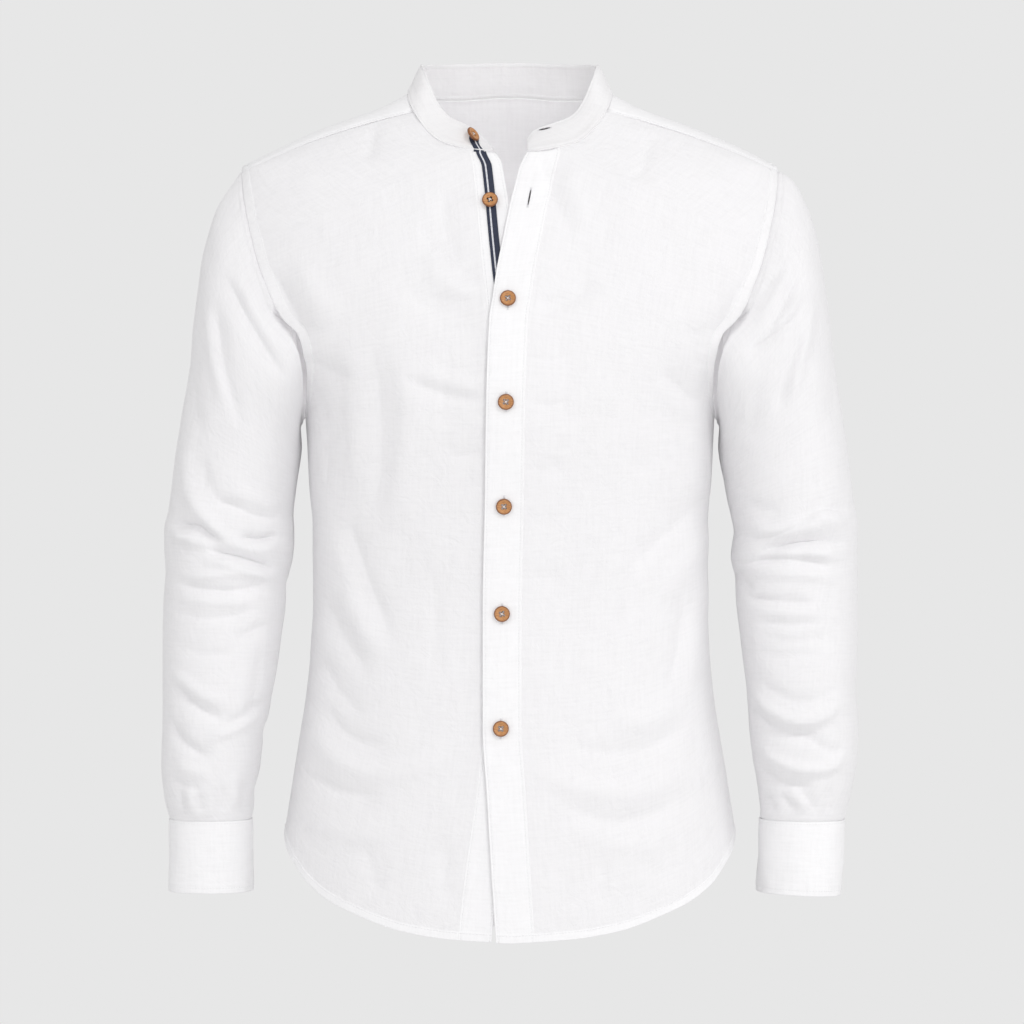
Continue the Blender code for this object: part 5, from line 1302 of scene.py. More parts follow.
def wood(name):
    """Turned wood: fine grain along one way, a darker burnt rim, and a dull varnish."""
    finish, shader, _, add = new_finish(name, 0.42)
    place = add("UVMap", "UV", uv_map="grain")
    run = add("Mapping", "Vector", Vector=place, Scale=(260.0, 1500.0, 1.0))
    grain = add("TexNoise", "Fac", Vector=run, Scale=1.0, Detail=5.0, Roughness=0.6, Distortion=0.6)
    reach = add("VectorMath", "Value", {0: place}, operation="LENGTH")
    rim = add("MapRange", "Result", Value=reach, From_Min=RIM_START, From_Max=RIM_END,
              interpolation_type="SMOOTHSTEP")
    tint = ramp(add, grain, WOOD_STOPS)
    dark = add("Mix", 2, {0: rim, 6: tint, 7: BURNT}, data_type="RGBA", blend_type="MULTIPLY")
    fill(shader, Base_Color=dark, Normal=add("Bump", "Normal", Height=grain, Strength=0.35, Distance=0.00012))
    return finish


# ---- cloth pieces -----------------------------------------------------------------------------------
SIDES = ((-1, "right"), (1, "left"))
SINGLE = 0.00060  # thickness of one layer
DOUBLE = 0.00120  # of two layers sewn together
THICK = DOUBLE + 0.0002  # and of collar and cuffs
HEM_BAND = 0.0070
FELLED = 0.0095  # band on the body along the armhole
FELLED_FROM = 12  # rows above the underarm at which its whiter cloth begins
BAND_RISE = 0.00045
HEM_PUCKER = 0.00030
ARMHOLE_GROOVE = 0.00035

SINGLE_COTTON = cotton("cotton_single", (0.864, 0.857, 0.868), crease=0.65, sheen=0.45)
# Painted light: the inner faces are whiter than the outer single cotton, for the light that lies inside the
# shirt.
INSIDE_COTTON_PAINTED_LIGHT = cotton("cotton_inside_painted_light", (0.925, 0.918, 0.925))
# The back lets the light behind it into the neck.
BACK_COTTON = cotton("cotton_back", (0.925, 0.917, 0.927), crease=0.50, through=0.12)
DOUBLE_COTTON = cotton("cotton_double", (0.920, 0.916, 0.925), slub=0.25, crease=0.30)
FELLED_COTTON = cotton("cotton_felled", (0.892, 0.886, 0.894), slub=0.30, crease=0.35)
# Painted shade: the collar's double cotton is darker all round than that of placket and cuffs, for the shade
# that falls on its left half.
COLLAR_COTTON_PAINTED_SHADE = cotton("cotton_collar_painted_shade", (0.862, 0.854, 0.860), slub=0.35, crease=0.45)
WHITE_THREAD = thread("thread_white", (0.90, 0.90, 0.91))
HOLE_THREAD = thread("thread_buttonhole", (0.80, 0.80, 0.82))
RIBBON = striped_ribbon("ribbon_striped", (0.33, 0.46))
WOOD = wood("wood_turned")
# Painted shadow: near-black slivers put in the buttonholes' slits, where there is only shade.
SLIT_PAINTED_SHADOW = thread("painted_slit_shadow", (0.045, 0.040, 0.042))


def from_axis(grid):
    """The way out from the torso's upright axis."""
    return unit(grid * np.array([1.0, 1.0, 0.0]))


def from_rows(grid):
    return unit(grid - grid.mean(axis=1, keepdims=True))


def raised(grid, heights):
    return grid + torso_normals(grid) * np.asarray(heights)[..., None]


def lower_shares(step, last_step):
    """Shares from the hem up to the underarm, close together at the hem and along its stitches."""
    length = 0.400
    found = spots(0.0, (0.0012, 0.0006), (0.0058, 0.0015), (0.0084, step), (length, last_step))
    return 1.0 - found[:-1] / length


FRONT_LOWER = lower_shares(0.0007, 0.0026)
FRONT_UPPER = np.linspace(0.0, 1.0, 88)[:-1]
FRONT_NECK = np.linspace(0.0, 1.0, 30)
FRONT_ACROSS = spots(-0.014, (0.945, 0.0112), (0.998, 0.0055), (1.0, 0.002))
FRONT_TUCK = 0.0006  # how far a front tucks under the placket or the band
BACK_LOWER = lower_shares(0.0008, 0.0040)
BACK_UPPER = np.linspace(0.0, 1.0, 54)
BACK_ACROSS = spots(0.0, (0.945, 0.0150), (1.0, 0.0065))


def armhole_band(arm, side, pucker, seed):
    """The felled band along the armhole, which sets in above the underarm."""
    band = seam_relief(arm, side, FELLED, BAND_RISE, pucker, seed, groove=ARMHOLE_GROOVE)
    return band * ease(np.arange(len(arm)) / 5.0)[:, None]


def placket_lift(grid):
    """How far the placket lies in front of the band: all of that down to the hem, little at the neck."""
    return PLACKET_LIFT * (1.0 - 0.75 * ease((grid[..., 2] + 0.085) / 0.035))


def front_lift(side, grid):
    """The wearer's left front comes down from the level of the placket on it."""
    away = grid[..., 0] - grid[:, 1:2, 0]
    return placket_lift(grid) * (1.0 - ease(away / LIFT_REACH)) if side > 0 else 0.0 * away


def build_front(side, name):
    rows = front_rows(side, FRONT_LOWER, FRONT_UPPER, FRONT_NECK, FRONT_ACROSS)
    grid = torso_points(side * rows[..., 0], rows[..., 1], "front")
    below = len(FRONT_LOWER)
    heights = front_lift(side, grid) + torso_relief(grid)
    heights += seam_relief(grid, "first_row", HEM_BAND, BAND_RISE, HEM_PUCKER, 51 + side)
    heights[below:] += armhole_band(grid[below:], "last_column", 0.00038, 57 + side)
    heights[:, 0] -= FRONT_TUCK
    heights[-1] -= 0.0003
    bands = (("first_row", HEM_BAND, 0, DOUBLE_COTTON),
             ("last_column", FELLED, below + FELLED_FROM, FELLED_COTTON))
    cloth(f"cloth_front_{name}", raised(grid, heights), from_axis, SINGLE, SINGLE_COTTON, f"front_{name}",
          inside=INSIDE_COTTON_PAINTED_LIGHT, middle=0.0, bands=bands)


def build_back():
    half = back_rows(BACK_LOWER, BACK_UPPER, BACK_ACROSS)
    half = torso_points(half[..., 0], half[..., 1], "back")
    grid = np.concatenate([half[:, :0:-1] * MIRROR, half], axis=1)
    below = len(BACK_LOWER)
    heights = torso_relief(grid)
    heights += seam_relief(grid, "first_row", HEM_BAND, BAND_RISE, HEM_PUCKER, 61)
    for side in UPRIGHT:
        heights[below:] += armhole_band(grid[below:], side, 0.00022, 63)
    heights[-1] -= 0.0004
    cloth("cloth_back", raised(grid, heights), from_axis, SINGLE, BACK_COTTON, "back")


YOKE_SHARES = spots(-0.018, (0.0, 0.006), (0.05, 0.010), (0.95, 0.0165), (1.0, 0.010))
YOKE_SIDE = 38  # columns of the yoke on each side of the neck
YOKE_NECK = 112  # and behind it
YOKE_PAST = 0.035  # share of the shoulder's arch by which it runs on over the fronts
YOKE_OVER = 0.0003  # the yoke lies over the fronts and the back
YOKE_SEATED = 0.00085  # how far its seams are pressed into the cloth under them, over that distance
YOKE_FALL = 0.0045


def build_yoke():
    grid = yoke_grid(YOKE_SHARES, YOKE_SIDE, YOKE_NECK, YOKE_PAST)
    heights = torso_relief(grid) + YOKE_OVER
    for side in UPRIGHT:
        heights += seam_relief(grid, side, FELLED, BAND_RISE, 0.00034, 71, groove=ARMHOLE_GROOVE)
    heights += seam_relief(grid, "first_row", 0.0030, 0.0, 0.00018, 73)
    for side in LEVEL:
        heights -= YOKE_SEATED * (1.0 - ease(from_side(grid, side)[0] / YOKE_FALL))
    cloth("cloth_yoke", raised(grid, heights), from_axis, SINGLE, DOUBLE_COTTON, "yoke", inside=INSIDE_COTTON_PAINTED_LIGHT)


STRIP_LEVELS = spots(0.0, (0.0018, 0.0009), (0.0087, 0.0016), (0.0126, 0.0010), (1.0, 0.0040))
STRIP_ACROSS = spots(0.0, (0.14, 0.02), (0.86, 0.048), (1.0, 0.02))
STITCH_IN = 0.0022  # distance of topstitching from an edge
PLACKET_OVER = 0.0002


def build_strip(node, edge, width, cut, lift, seed):
    """The placket or the button band; lift is how far it lies out at each point of its grid."""
    grid = front_strip(edge, width, STRIP_LEVELS, STRIP_ACROSS, cut=cut)
    heights = torso_relief(grid) + lift(grid) + seam_relief(grid, "first_row", HEM_BAND, 0.0003, 0.0002, seed)
    for side in UPRIGHT:
        heights += seam_relief(grid, side, STITCH_IN, 0.0, 0.00014, seed + 2, groove=0.00025)
    cloth(f"cloth_{node}", raised(grid, heights), from_axis, DOUBLE, DOUBLE_COTTON, node)


def build_strips():
    build_strip("placket", EDGE_OF_PLACKET, PLACKET_WIDTH, (1.0, 0.0),
                lambda grid: PLACKET_OVER + placket_lift(grid), 81)
    build_strip("button_band", SEAM_OF_BAND, BAND_WIDTH, (0.0, 1.0), lambda grid: 0.0, 85)


COLLAR_UPS = spots(-0.03, (0.15, 0.02), (0.85, 0.05), (1.0, 0.02))
COLLAR_FOOT = 0.0016  # how far its lower edge stands off the body, below the seam's line of stitches


def build_collar():
    alongs = spots(0.0, (0.004, 0.0008), (0.050, 0.0016), (COLLAR_LENGTH - 0.050, 0.0024),
                   (COLLAR_LENGTH - 0.004, 0.0016), (COLLAR_LENGTH, 0.0008))
    grid = collar_grid(alongs, COLLAR_UPS)
    lean = unit(grid[-1:] - grid[:1])
    out = unit(np.cross(np.gradient(grid, axis=1), lean + 0.0 * grid))
    out = out * facing_out(out, from_axis(grid))
    heights = 0.00008 * ripple(np.stack([alongs] * len(grid)), 0.013, 91)
    heights += 0.00045 * bumps(np.stack([alongs + 0.0 * grid[..., 0], grid[..., 2]], axis=-1), 0.022, 93)
    for side in LEVEL:
        heights += seam_relief(grid, side, 0.0022, 0.0, 0.00026, 95, groove=0.00050)
    heights += COLLAR_FOOT * (1.0 - ease(COLLAR_UPS / 0.35))[:, None]
    cloth("cloth_collar", grid + out * heights[..., None], from_axis, THICK, COLLAR_COTTON_PAINTED_SHADE, "collar")


SLEEVE_SHARES = spots(0.0, (0.03, 0.003), (0.48, 0.0052), (0.74, 0.0027), (0.97, 0.0044), (1.0, 0.003))
SLEEVE_AROUND = 136
SLEEVE_TUCK = 0.0045  # the sleeve runs on this far under the body at the armhole
TUCK_DEPTH = 0.0014
CUFF_TUCK = 0.0040  # and this far into its cuff
WRIST_IN = 0.0012  # cuff and wrist lie this far inside their solid
WRIST_CLEAR = 0.0012  # and the wrist's end this far inside its cuff
WRIST_GATHER = 0.00085
HEAD_RADIUS = 0.080
HEAD_PUCKER = 0.00030
HEAD_GROOVE = 0.0012
ARMPIT_CREASE = 0.034  # depth of the dark crease between sleeve and body, between these heights
ARMPIT_TOP, ARMPIT_FOOT = -0.175, -0.264


def ring_bumps(angles, radius, cell, seed):
    """Bumps round a tube of that radius."""
    return bumps(radius * np.stack([np.cos(angles), np.sin(angles)], axis=-1), cell, seed)


def near_end(shares, reach, power=2):
    """1 where a share is 0, falling to nothing about that far from it."""
    return np.exp(-((shares / reach) ** power))[:, None]


def wrist_gathers(side, shares, angles):
    left = 1.0 - shares
    fall = np.exp(-((left / 0.05) ** 2)) * ease(left / 0.012)
    return WRIST_GATHER * ring_bumps(angles, 0.043, 0.0110, 107 + side) * fall[:, None]


def head_puckers(angles):
    fine = ring_bumps(angles, HEAD_RADIUS, 0.0085, 101)
    broad = ring_bumps(angles, HEAD_RADIUS, 0.019, 103)
    return HEAD_PUCKER * (fine + 0.6 * broad)


def armpit_crease(shares, z, away):
    """The deep crease beside the body, which is shallower behind."""
    near = near_end(shares, 0.0165, 8) * lerp(0.35, 1.0, ease(0.5 - away[..., 1]))
    return ARMPIT_CREASE * near * ease((ARMPIT_TOP - z) / 0.035) * ease((z - ARMPIT_FOOT) / 0.015)


def lap_followed(angles):
    """How far a wrist stands out to meet its cuff, which winds out round it."""
    turned = (angles - CUFF_START) % (2.0 * math.pi)
    return CUFF_LAP * turned / CUFF_TURN * ease((2.0 * math.pi - turned) / 0.35)


def tucked(side, grid, away):
    """A sleeve's rows with those that run on under the body and into the cuff."""
    start = grid[:1] - unit(grid[1:2] - grid[:1]) * SLEEVE_TUCK
    mirror = mirror_to(side)
    inward = torso_normals(start * mirror) * mirror
    head = [start - inward * TUCK_DEPTH, lerp(start, grid[:1], 0.6) - inward * TUCK_DEPTH * 0.8]
    end = grid[-1:] + unit(grid[-1:] - grid[-2:-1]) * CUFF_TUCK
    wrist = [lerp(grid[-1:], end, 0.3) - away[-1:] * 0.0010, end - away[-1:] * 0.0013]
    return np.concatenate([*head, grid, *wrist])


def build_sleeve(side, name):
    shares = SLEEVE_SHARES
    angles = np.linspace(-math.pi, math.pi, SLEEVE_AROUND + 1)[:-1]
    grid, away = sleeve_grid(side, shares, angles)
    relief = sleeve_relief(side, grid, away) * ease(shares / 0.10)[:, None]
    relief += head_puckers(angles) * near_end(shares, 0.022)
    relief += wrist_gathers(side, shares, angles)
    relief -= HEAD_GROOVE * near_end(shares, 0.006)
    relief -= armpit_crease(shares, grid[..., 2], away)
    relief -= WRIST_IN * near_end(1.0 - shares, 0.20)
    relief += (lap_followed(angles) - WRIST_CLEAR) * near_end(1.0 - shares, 0.018)
    grid = tucked(side, grid + away * relief[..., None], away)
    shape = cloth(f"cloth_sleeve_{name}", grid, from_rows, SINGLE, SINGLE_COTTON, f"sleeve_{name}",
                  closed=True)
    shape["closed_tube"] = True


CUFF_ANGLES = np.linspace(CUFF_START, CUFF_START + CUFF_TURN, 150)
CUFF_UPS = spots(-0.03, (0.0, 0.015), (0.06, 0.015), (0.93, 0.034), (1.0, 0.014))


def build_cuff(side, name):
    grid, away = cuff_grid(side, CUFF_UPS, CUFF_ANGLES)
    places = np.stack([CUFF_ANGLES[None, :] * 0.040 + 0.0 * grid[..., 0], grid[..., 2]], axis=-1)
    heights = 0.00065 * bumps(places, 0.026, 111 + side) + 0.00024 * bumps(places, 0.011, 113 + side)
    for edge in LEVEL:
        heights += seam_relief(grid, edge, 0.0045, -0.00012, 0.00020, 115 + side, 0.0060)
    heights -= WRIST_IN
    grid = grid + away * heights[..., None]
    cloth(f"cloth_cuff_{name}", grid, from_rows, THICK, DOUBLE_COTTON, f"cuff_{name}")


SLIT_TURN = math.radians(-60.0)
SLIT_HALF = math.radians(15.0)
SLIT_SHARE = 7.0 / 30.0
SLIT_POINT = 1.5  # how much the sleeve placket's upper end is pointed, in steps between rows
OVER_SLEEVE = 0.0009


def build_sleeve_placket(side, name):
    shares = spots(1.0 - SLIT_SHARE, (1.0, 0.0045))
    angles = np.linspace(SLIT_TURN - SLIT_HALF, SLIT_TURN + SLIT_HALF, 14)
    grid, away = sleeve_grid(side, shares, angles)
    relief = sleeve_relief(side, grid, away) + wrist_gathers(side, shares, angles)
    grid = grid + away * (relief + OVER_SLEEVE)[..., None]
    from_middle = np.abs(np.linspace(-1.0, 1.0, len(angles)))
    grid[0] += (grid[1] - grid[0]) * (SLIT_POINT * from_middle)[:, None]
    mean = away.mean(axis=(0, 1))
    cloth(f"cloth_sleeve_placket_{name}", grid, lambda points: mean + 0.0 * points, DOUBLE * 0.7,
          DOUBLE_COTTON, f"sleeve_placket_{name}")


RIBBON_FOOT = -0.200
RIBBON_THICK = 0.0006
RIBBON_OVER = FOLDED / 2.0 + SEAM_GAP + 0.0002  # how far a ribbon's middle lies over that of the cloth
COLLAR_RIBBON = (0.0125, 0.0210)
RIBBON_ASIDE = 0.0018
RIBBON_BEND = 0.0030
RIBBON_SLANT = 0.0050  # by which the collar's ribbon slants towards the band's, from its top to its foot
RIBBON_COLUMNS = 9


def stripe_map(shape, rows, columns, length):
    """A UV map with 0 to 1 across a strip's columns and metres down its rows."""
    across, down = np.meshgrid(np.arange(columns) / (columns - 1), np.arange(rows) / (rows - 1) * length)
    map_onto(shape.data, "stripe", np.stack([across, down], axis=-1).reshape(-1, 2))


def ribbon_edge(z):
    """The ribbon on the band lies a little off its middle and bends aside at the neck."""
    bend = RIBBON_BEND * ease((z + 0.060) / 0.013)
    return SEAM_OF_BAND(z) + (BAND_WIDTH - RIBBON_WIDTH) / 2.0 - RIBBON_ASIDE - bend


def build_ribbons():
    levels, across = np.linspace(0.0, 1.0, 90), np.linspace(0.0, 1.0, RIBBON_COLUMNS)
    grid = front_strip(ribbon_edge, RIBBON_WIDTH, levels, across, RIBBON_FOOT)
    band = raised(grid, torso_relief(grid) + RIBBON_OVER + 0.00010 * ripple(grid[..., 2], 0.006, 121))
    rows = []
    for up in np.linspace(-0.08, 0.68, 22):
        alongs = np.linspace(*COLLAR_RIBBON, RIBBON_COLUMNS) - RIBBON_SLANT * ease((0.55 - up) / 0.55)
        rows.append(collar_grid(alongs, (up,), RIBBON_OVER + 0.0003)[0])
    for name, node, grid, length in (("ribbon_band", "ribbon", band, 0.15),
                                     ("ribbon_collar", "collar_ribbon", np.array(rows), 0.02)):
        shape = cloth(name, grid, from_axis, RIBBON_THICK, RIBBON, node)
        stripe_map(shape, *made[name][1].shape[:2], length)


# ---- buttons ----------------------------------------------------------------------------------------
FRONT_BUTTONS = {
    "z": (-0.1758, -0.2618, -0.3490, -0.4398, -0.5362),
    "x": (-0.0017, -0.0034, -0.0050, -0.0067, -0.0076),
    "turn": (8.0, -6.0, 3.0, 12.0, -3.0),  # degrees
}
BUTTON_CLEAR = 0.0006
BUTTON_SEAT = FOLDED / 2.0 + BUTTON_CLEAR
RIBBON_STEP = RIBBON_WALL + SEAM_GAP  # by which a button on the ribbon lies further out
BAND_BUTTON = (-0.0169, -0.0908)
BAND_BUTTON_TURN = math.radians(20.0)
COLLAR_BUTTON = (0.0195, 0.55)
COLLAR_BUTTON_FACING = (0.72, -0.46, 0.52)  # the top button hangs over to one side on its thread
COLLAR_BUTTON_OUT = 0.0010
CUFF_BUTTON_TURN = math.radians(-62.0 + 360.0)
HOLE_REACH = 0.27  # distance of a button's holes from its centre, as a share of its radius
HOLE_RADIUS = 0.180
BUTTON_SIDES = 64
BUTTON_FACE = 0.74  # height of the sunk face, as a share of the thickness
# A button's outline from the middle of its face round to that of its back: share of radius, of thickness.
BUTTON_OUTLINE = ((0.0, BUTTON_FACE), (0.30, BUTTON_FACE), (0.58, 0.755), (0.68, 0.83), (0.74, 0.93),
                  (0.80, 0.985), (0.87, 1.0), (0.93, 0.97), (0.975, 0.88), (1.0, 0.72), (1.0, 0.42),
                  (0.975, 0.22), (0.92, 0.07), (0.85, 0.0), (0.45, 0.0), (0.0, 0.0))


def button_blank(radius):
    """A button without its holes, about its own axis."""
    shape = bmesh.new()
    turns = [2.0 * math.pi * k / BUTTON_SIDES for k in range(BUTTON_SIDES)]
    rings = []
    for share, level in BUTTON_OUTLINE:
        reach, height = share * radius, level * BUTTON_THICK
        if reach == 0.0:
            rings.append([shape.verts.new((0.0, 0.0, height))] * BUTTON_SIDES)
        else:
            rings.append([shape.verts.new((reach * math.cos(t), reach * math.sin(t), height)) for t in turns])
    for upper, lower in zip(rings, rings[1:]):
        for k in range(BUTTON_SIDES):
            following = (k + 1) % BUTTON_SIDES
            corners = [upper[k], upper[following], lower[following], lower[k]]
            shape.faces.new(list(dict.fromkeys(corners)))
    bmesh.ops.recalc_face_normals(shape, faces=shape.faces)
    return shape


def button_cutter(radius):
    """The four cylinders that a button's holes are cut with."""
    shape = bmesh.new()
    wide, reach = HOLE_RADIUS * radius, HOLE_REACH * radius
    for k in range(4):
        turn = math.radians(45.0 + 90.0 * k)
        place = bmesh.ops.create_cone(shape, cap_ends=True, segments=20, radius1=wide, radius2=wide,
                                      depth=3.0 * BUTTON_THICK)
        move = (reach * math.cos(turn), reach * math.sin(turn), 0.0)
        bmesh.ops.translate(shape, verts=place["verts"], vec=move)
    return shape


def solid_from(name, shape):
    """An object made of a bmesh, which is freed."""
    data = bpy.data.meshes.new(name)
    shape.to_mesh(data)
    shape.free()
    return put(name, data)


def button_data(radius):
    """The mesh of a four-hole button about its own axis, with its grain on a UV map."""
    body, tool = solid_from("blank", button_blank(radius)), solid_from("holes", button_cutter(radius))
    cut = body.modifiers.new("holes", "BOOLEAN")
    cut.operation = "DIFFERENCE"
    cut.object = tool
    cut.solver = "EXACT"
    bpy.context.view_layer.update()
    data = bpy.data.meshes.new_from_object(body.evaluated_get(bpy.context.evaluated_depsgraph_get()))
    for part in (body, tool):
        blank = part.data
        bpy.data.objects.remove(part)
        bpy.data.meshes.remove(blank)
    data.shade_smooth()
    data.set_sharp_from_angle(angle=math.radians(38.0))
    places = np.zeros(len(data.vertices) * 3)
    data.vertices.foreach_get("co", places)
    map_onto(data, "grain", places.reshape(-1, 3)[:, :2])
    data.materials.clear()
    data.materials.append(WOOD)
    return data


ROPE_SIDES = 7


def rope(path, radius):
    """A thread along a path of points: its points and faces."""
    path = np.array(path, float)
    along = unit(np.gradient(path, axis=0))
    aside = unit(np.cross(along, np.array([0.0, 0.3, 1.0])))
    rings = hoop(path, aside, np.cross(aside, along), radius, ROPE_SIDES)
    index = np.arange(len(path) * ROPE_SIDES).reshape(len(path), ROPE_SIDES)
    faces = [*quads(index, np.roll(index, -1, axis=1)), index[0][::-1], index[-1]]
    return rings.reshape(-1, 3), [face.tolist() for face in faces]


STRAND = 0.00013  # radius of a button's thread, and half the distance between two strands
THREAD_RISE = 0.00030  # how far the strands' middle lies over the button's face
THREAD_CROSS = 0.00022  # and the upper pair's over the lower's
THREAD_SINK = 0.0018


def button_thread(radius):
    """The crossed threads of a button, on its own axis: two strands each way, down into the holes."""
    points, faces, done = [], [], 0
    reach = HOLE_REACH * radius
    for way, (dx, dy) in enumerate(((1.0, 1.0), (1.0, -1.0))):
        for off in (-STRAND, STRAND):
            path = []
            for t in np.linspace(-0.72, 0.72, 15):
                top = BUTTON_FACE * BUTTON_THICK + THREAD_RISE + THREAD_CROSS * way * (1.0 - t * t)
                sink = THREAD_SINK * max(abs(t) - 0.42, 0.0) / 0.30
                path.append((reach * t * dx - off * dy * 0.7, reach * t * dy + off * dx * 0.7, top - sink))
            at, ring = rope(path, STRAND)
            points.append(at)
            faces += [[done + v for v in face] for face in ring]
            done += len(at)
    return np.concatenate(points), faces


def add_button(node, data, radius, place, normal, turn=0.0):
    """A wooden button on the cloth with its crossed threads, in the place of a solid."""
    facing = Vector(normal).to_track_quat("Z", "Y").to_matrix().to_4x4()
    matrix = Matrix.Translation(Vector(place)) @ facing @ Matrix.Rotation(turn, 4, "Z")
    shape = put(f"{node}_wood", data)
    shape.matrix_world = matrix
    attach(shape, "root")
    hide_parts(node)
    points, faces = button_thread(radius)
    points = (np.array(matrix)[:3, :3] @ points.T).T + np.array(matrix)[:3, 3]
    mesh_from(f"{node}_thread", points, faces, WHITE_THREAD)


def chest_spot(x, z, lift):
    """A place on the chest's cloth, moved out by a lift, and the way out there."""
    point = torso_points(x, z, "front")[None]
    normal = torso_normals(point)
    return (point + normal * (torso_relief(point)[..., None] + lift))[0], normal[0]


def patch_spot(patch):
    """The middle of a small patch of a grid and the normal there."""
    return patch.mean(axis=(0, 1)), unit(np.cross(patch[1, 0] - patch[0, 0], patch[0, 1] - patch[0, 0]))


def build_buttons():
    data = button_data(BUTTON_RADIUS)
    for k, (z, x, turn) in enumerate(zip(*FRONT_BUTTONS.values())):
        place, normal = chest_spot(x, z, PLACKET_LIFT + BUTTON_SEAT)
        add_button(f"button_{k + 3}", data, BUTTON_RADIUS, place, normal, math.radians(turn))
    place, normal = chest_spot(*BAND_BUTTON, BUTTON_SEAT + RIBBON_STEP)
    add_button("button_2", data, BUTTON_RADIUS, place, normal, BAND_BUTTON_TURN)
    along, up = COLLAR_BUTTON
    place, normal = patch_spot(collar_grid(np.array([along - 0.004, along + 0.004]), (up - 0.15, up + 0.15)))
    out = FOLDED / 2.0 + 1.5 * BUTTON_CLEAR + RIBBON_STEP + COLLAR_BUTTON_OUT
    add_button("button_1", data, BUTTON_RADIUS, place + normal * out, unit(np.array(COLLAR_BUTTON_FACING)))
    small = button_data(CUFF_BUTTON_RADIUS)
    for side, name in SIDES:
        around = np.array([CUFF_BUTTON_TURN - 0.05, CUFF_BUTTON_TURN + 0.05])
        patch, away = cuff_grid(side, (0.45, 0.55), around)
        place, normal = patch_spot(patch)
        normal = normal * facing_out(normal, away.mean(axis=(0, 1)))
        place = place + normal * (BUTTON_SEAT - WRIST_IN)
        add_button(f"cuff_button_{name}", small, CUFF_BUTTON_RADIUS, place, normal)


# ---- topstitching and buttonholes -------------------------------------------------------------------
STITCH_LIFT = 0.00008
HEM_STITCH = 0.0062
FELL_STITCH = 0.0086
NEAR_EDGE = 0.0020
SEAM_START = 2  # rows above the underarm at which the armholes' stitches start
COLLAR_BACK = slice(60, -60)  # the columns of the collar behind the neck
WHOLE = slice(None)


def sewn(sheet, side, distance, rows=WHOLE, columns=WHOLE, face=1.0):
    """A line of stitches on a sheet's outer face (or its inner one, -1), that far from one of its sides."""
    _, grid, normals = made[f"cloth_{sheet}"]
    thick = DOUBLE if sheet.startswith(("collar", "placket", "button", "cuff")) else SINGLE
    points, facing = line_from(grid[rows, columns], normals[rows, columns], side, distance)
    return points + face * facing * (thick / 2.0 + STITCH_LIFT), face * facing


def sew():
    """All topstitching: a mesh of stitches for each sheet, whose names are returned."""
    front, back = (slice(len(shares) + SEAM_START, None) for shares in (FRONT_LOWER, BACK_LOWER))
    lines = {"collar": [sewn("collar", side, NEAR_EDGE) for side in LEVEL + UPRIGHT]}
    lines["collar"].append(sewn("collar", "first_row", 0.0032, columns=COLLAR_BACK, face=-1.0))
    for strip in ("placket", "button_band"):
        lines[strip] = [sewn(strip, side, STITCH_IN) for side in UPRIGHT]
        lines[strip].append(sewn(strip, "first_row", HEM_STITCH))
    for _, name in SIDES:
        sheet = f"front_{name}"
        lines[sheet] = [sewn(sheet, "first_row", HEM_STITCH),
                        sewn(sheet, "last_column", FELL_STITCH, rows=front),
                        sewn(sheet, "last_column", 0.0014, rows=front),
                        sewn(sheet, "last_column", 0.0030, rows=slice(0, len(FRONT_LOWER)))]
        sheet = f"cuff_{name}"
        places = (("first_row", NEAR_EDGE), ("last_row", 0.0048), ("last_column", NEAR_EDGE))
        lines[sheet] = [sewn(sheet, *place) for place in places]
        sheet = f"sleeve_placket_{name}"
        lines[sheet] = [sewn(sheet, side, 0.0016) for side in UPRIGHT]
    lines["back"] = [sewn("back", "first_row", HEM_STITCH)]
    lines["back"] += [sewn("back", side, FELL_STITCH, rows=back) for side in UPRIGHT]
    lines["yoke"] = [sewn("yoke", "first_row", distance) for distance in (NEAR_EDGE, 0.0065)]
    lines["yoke"] += [sewn("yoke", side, FELL_STITCH) for side in UPRIGHT]
    lines["yoke"] += [sewn("yoke", "last_row", NEAR_EDGE, columns=part)
                      for part in (slice(0, YOKE_SIDE + 1), slice(-YOKE_SIDE - 1, None))]
    for name, rows in lines.items():
        stitches(f"stitches_{name}", rows, WHITE_THREAD)
    return [f"stitches_{name}" for name in lines]


PIXEL = 0.87  # millimetres on the picture plane
PICTURE_MIDDLE = np.array([510.0, 512.0])  # the pixel at x = 0 on the camera's level


def on_sheet(name, pixel):
    """The place on a sheet's outer face that the camera sees at that pixel of the picture, and its normal."""
    _, grid, normals = made[name]
    target = (np.array(pixel) - PICTURE_MIDDLE) * [PIXEL, -PIXEL] + [0.0, 1000.0 * CAMERA[2]]
    places = seen(grid)
    hidden = normals[..., 1] > 0.3
    away = np.linalg.norm(places - target, axis=-1) + 1000.0 * hidden
    i, j = np.unravel_index(np.argmin(away), away.shape)
    i, j = min(max(i, 1), grid.shape[0] - 2), min(max(j, 1), grid.shape[1] - 2)
    steps, moves = (np.array([values[i + 1, j] - values[i - 1, j], values[i, j + 1] - values[i, j - 1]])
                    for values in (grid, places))
    share = np.clip(np.linalg.solve(moves.T, target - places[i, j]), -0.6, 0.6)
    return grid[i, j] + share[0] * steps[0] + share[1] * steps[1], normals[i, j]


HOLE_LIFT = DOUBLE / 2.0 + 0.0001
HOLE_WIDTH = 0.0021
HOLE_STITCH = 0.00042  # pitch of the threads round a buttonhole
HOLE_BAR = 0.0016  # length of the bar across each of its ends
SHUT_SLIT = 0.00022  # half width of the slit of a buttonhole under its button
OPEN_HOLES = (  # the sheet, the pixels of the two ends and half the width of the slit
    ("cloth_placket", ((531.2, 188.0), (527.4, 208.0)), 0.0006),
    ("cloth_collar", ((537.5, 131.4), (552.0, 128.2)), 0.0013),
)
HOLE_REACH_Z = 10.0  # pixels from a button's middle to its buttonhole's ends
FRONT_BUTTON_PIXELS = ((508.0, 300.0), (506.0, 402.0), (504.0, 506.0), (502.0, 614.0), (500.9, 729.0))
CUFF_HOLE_HALF = 0.0085


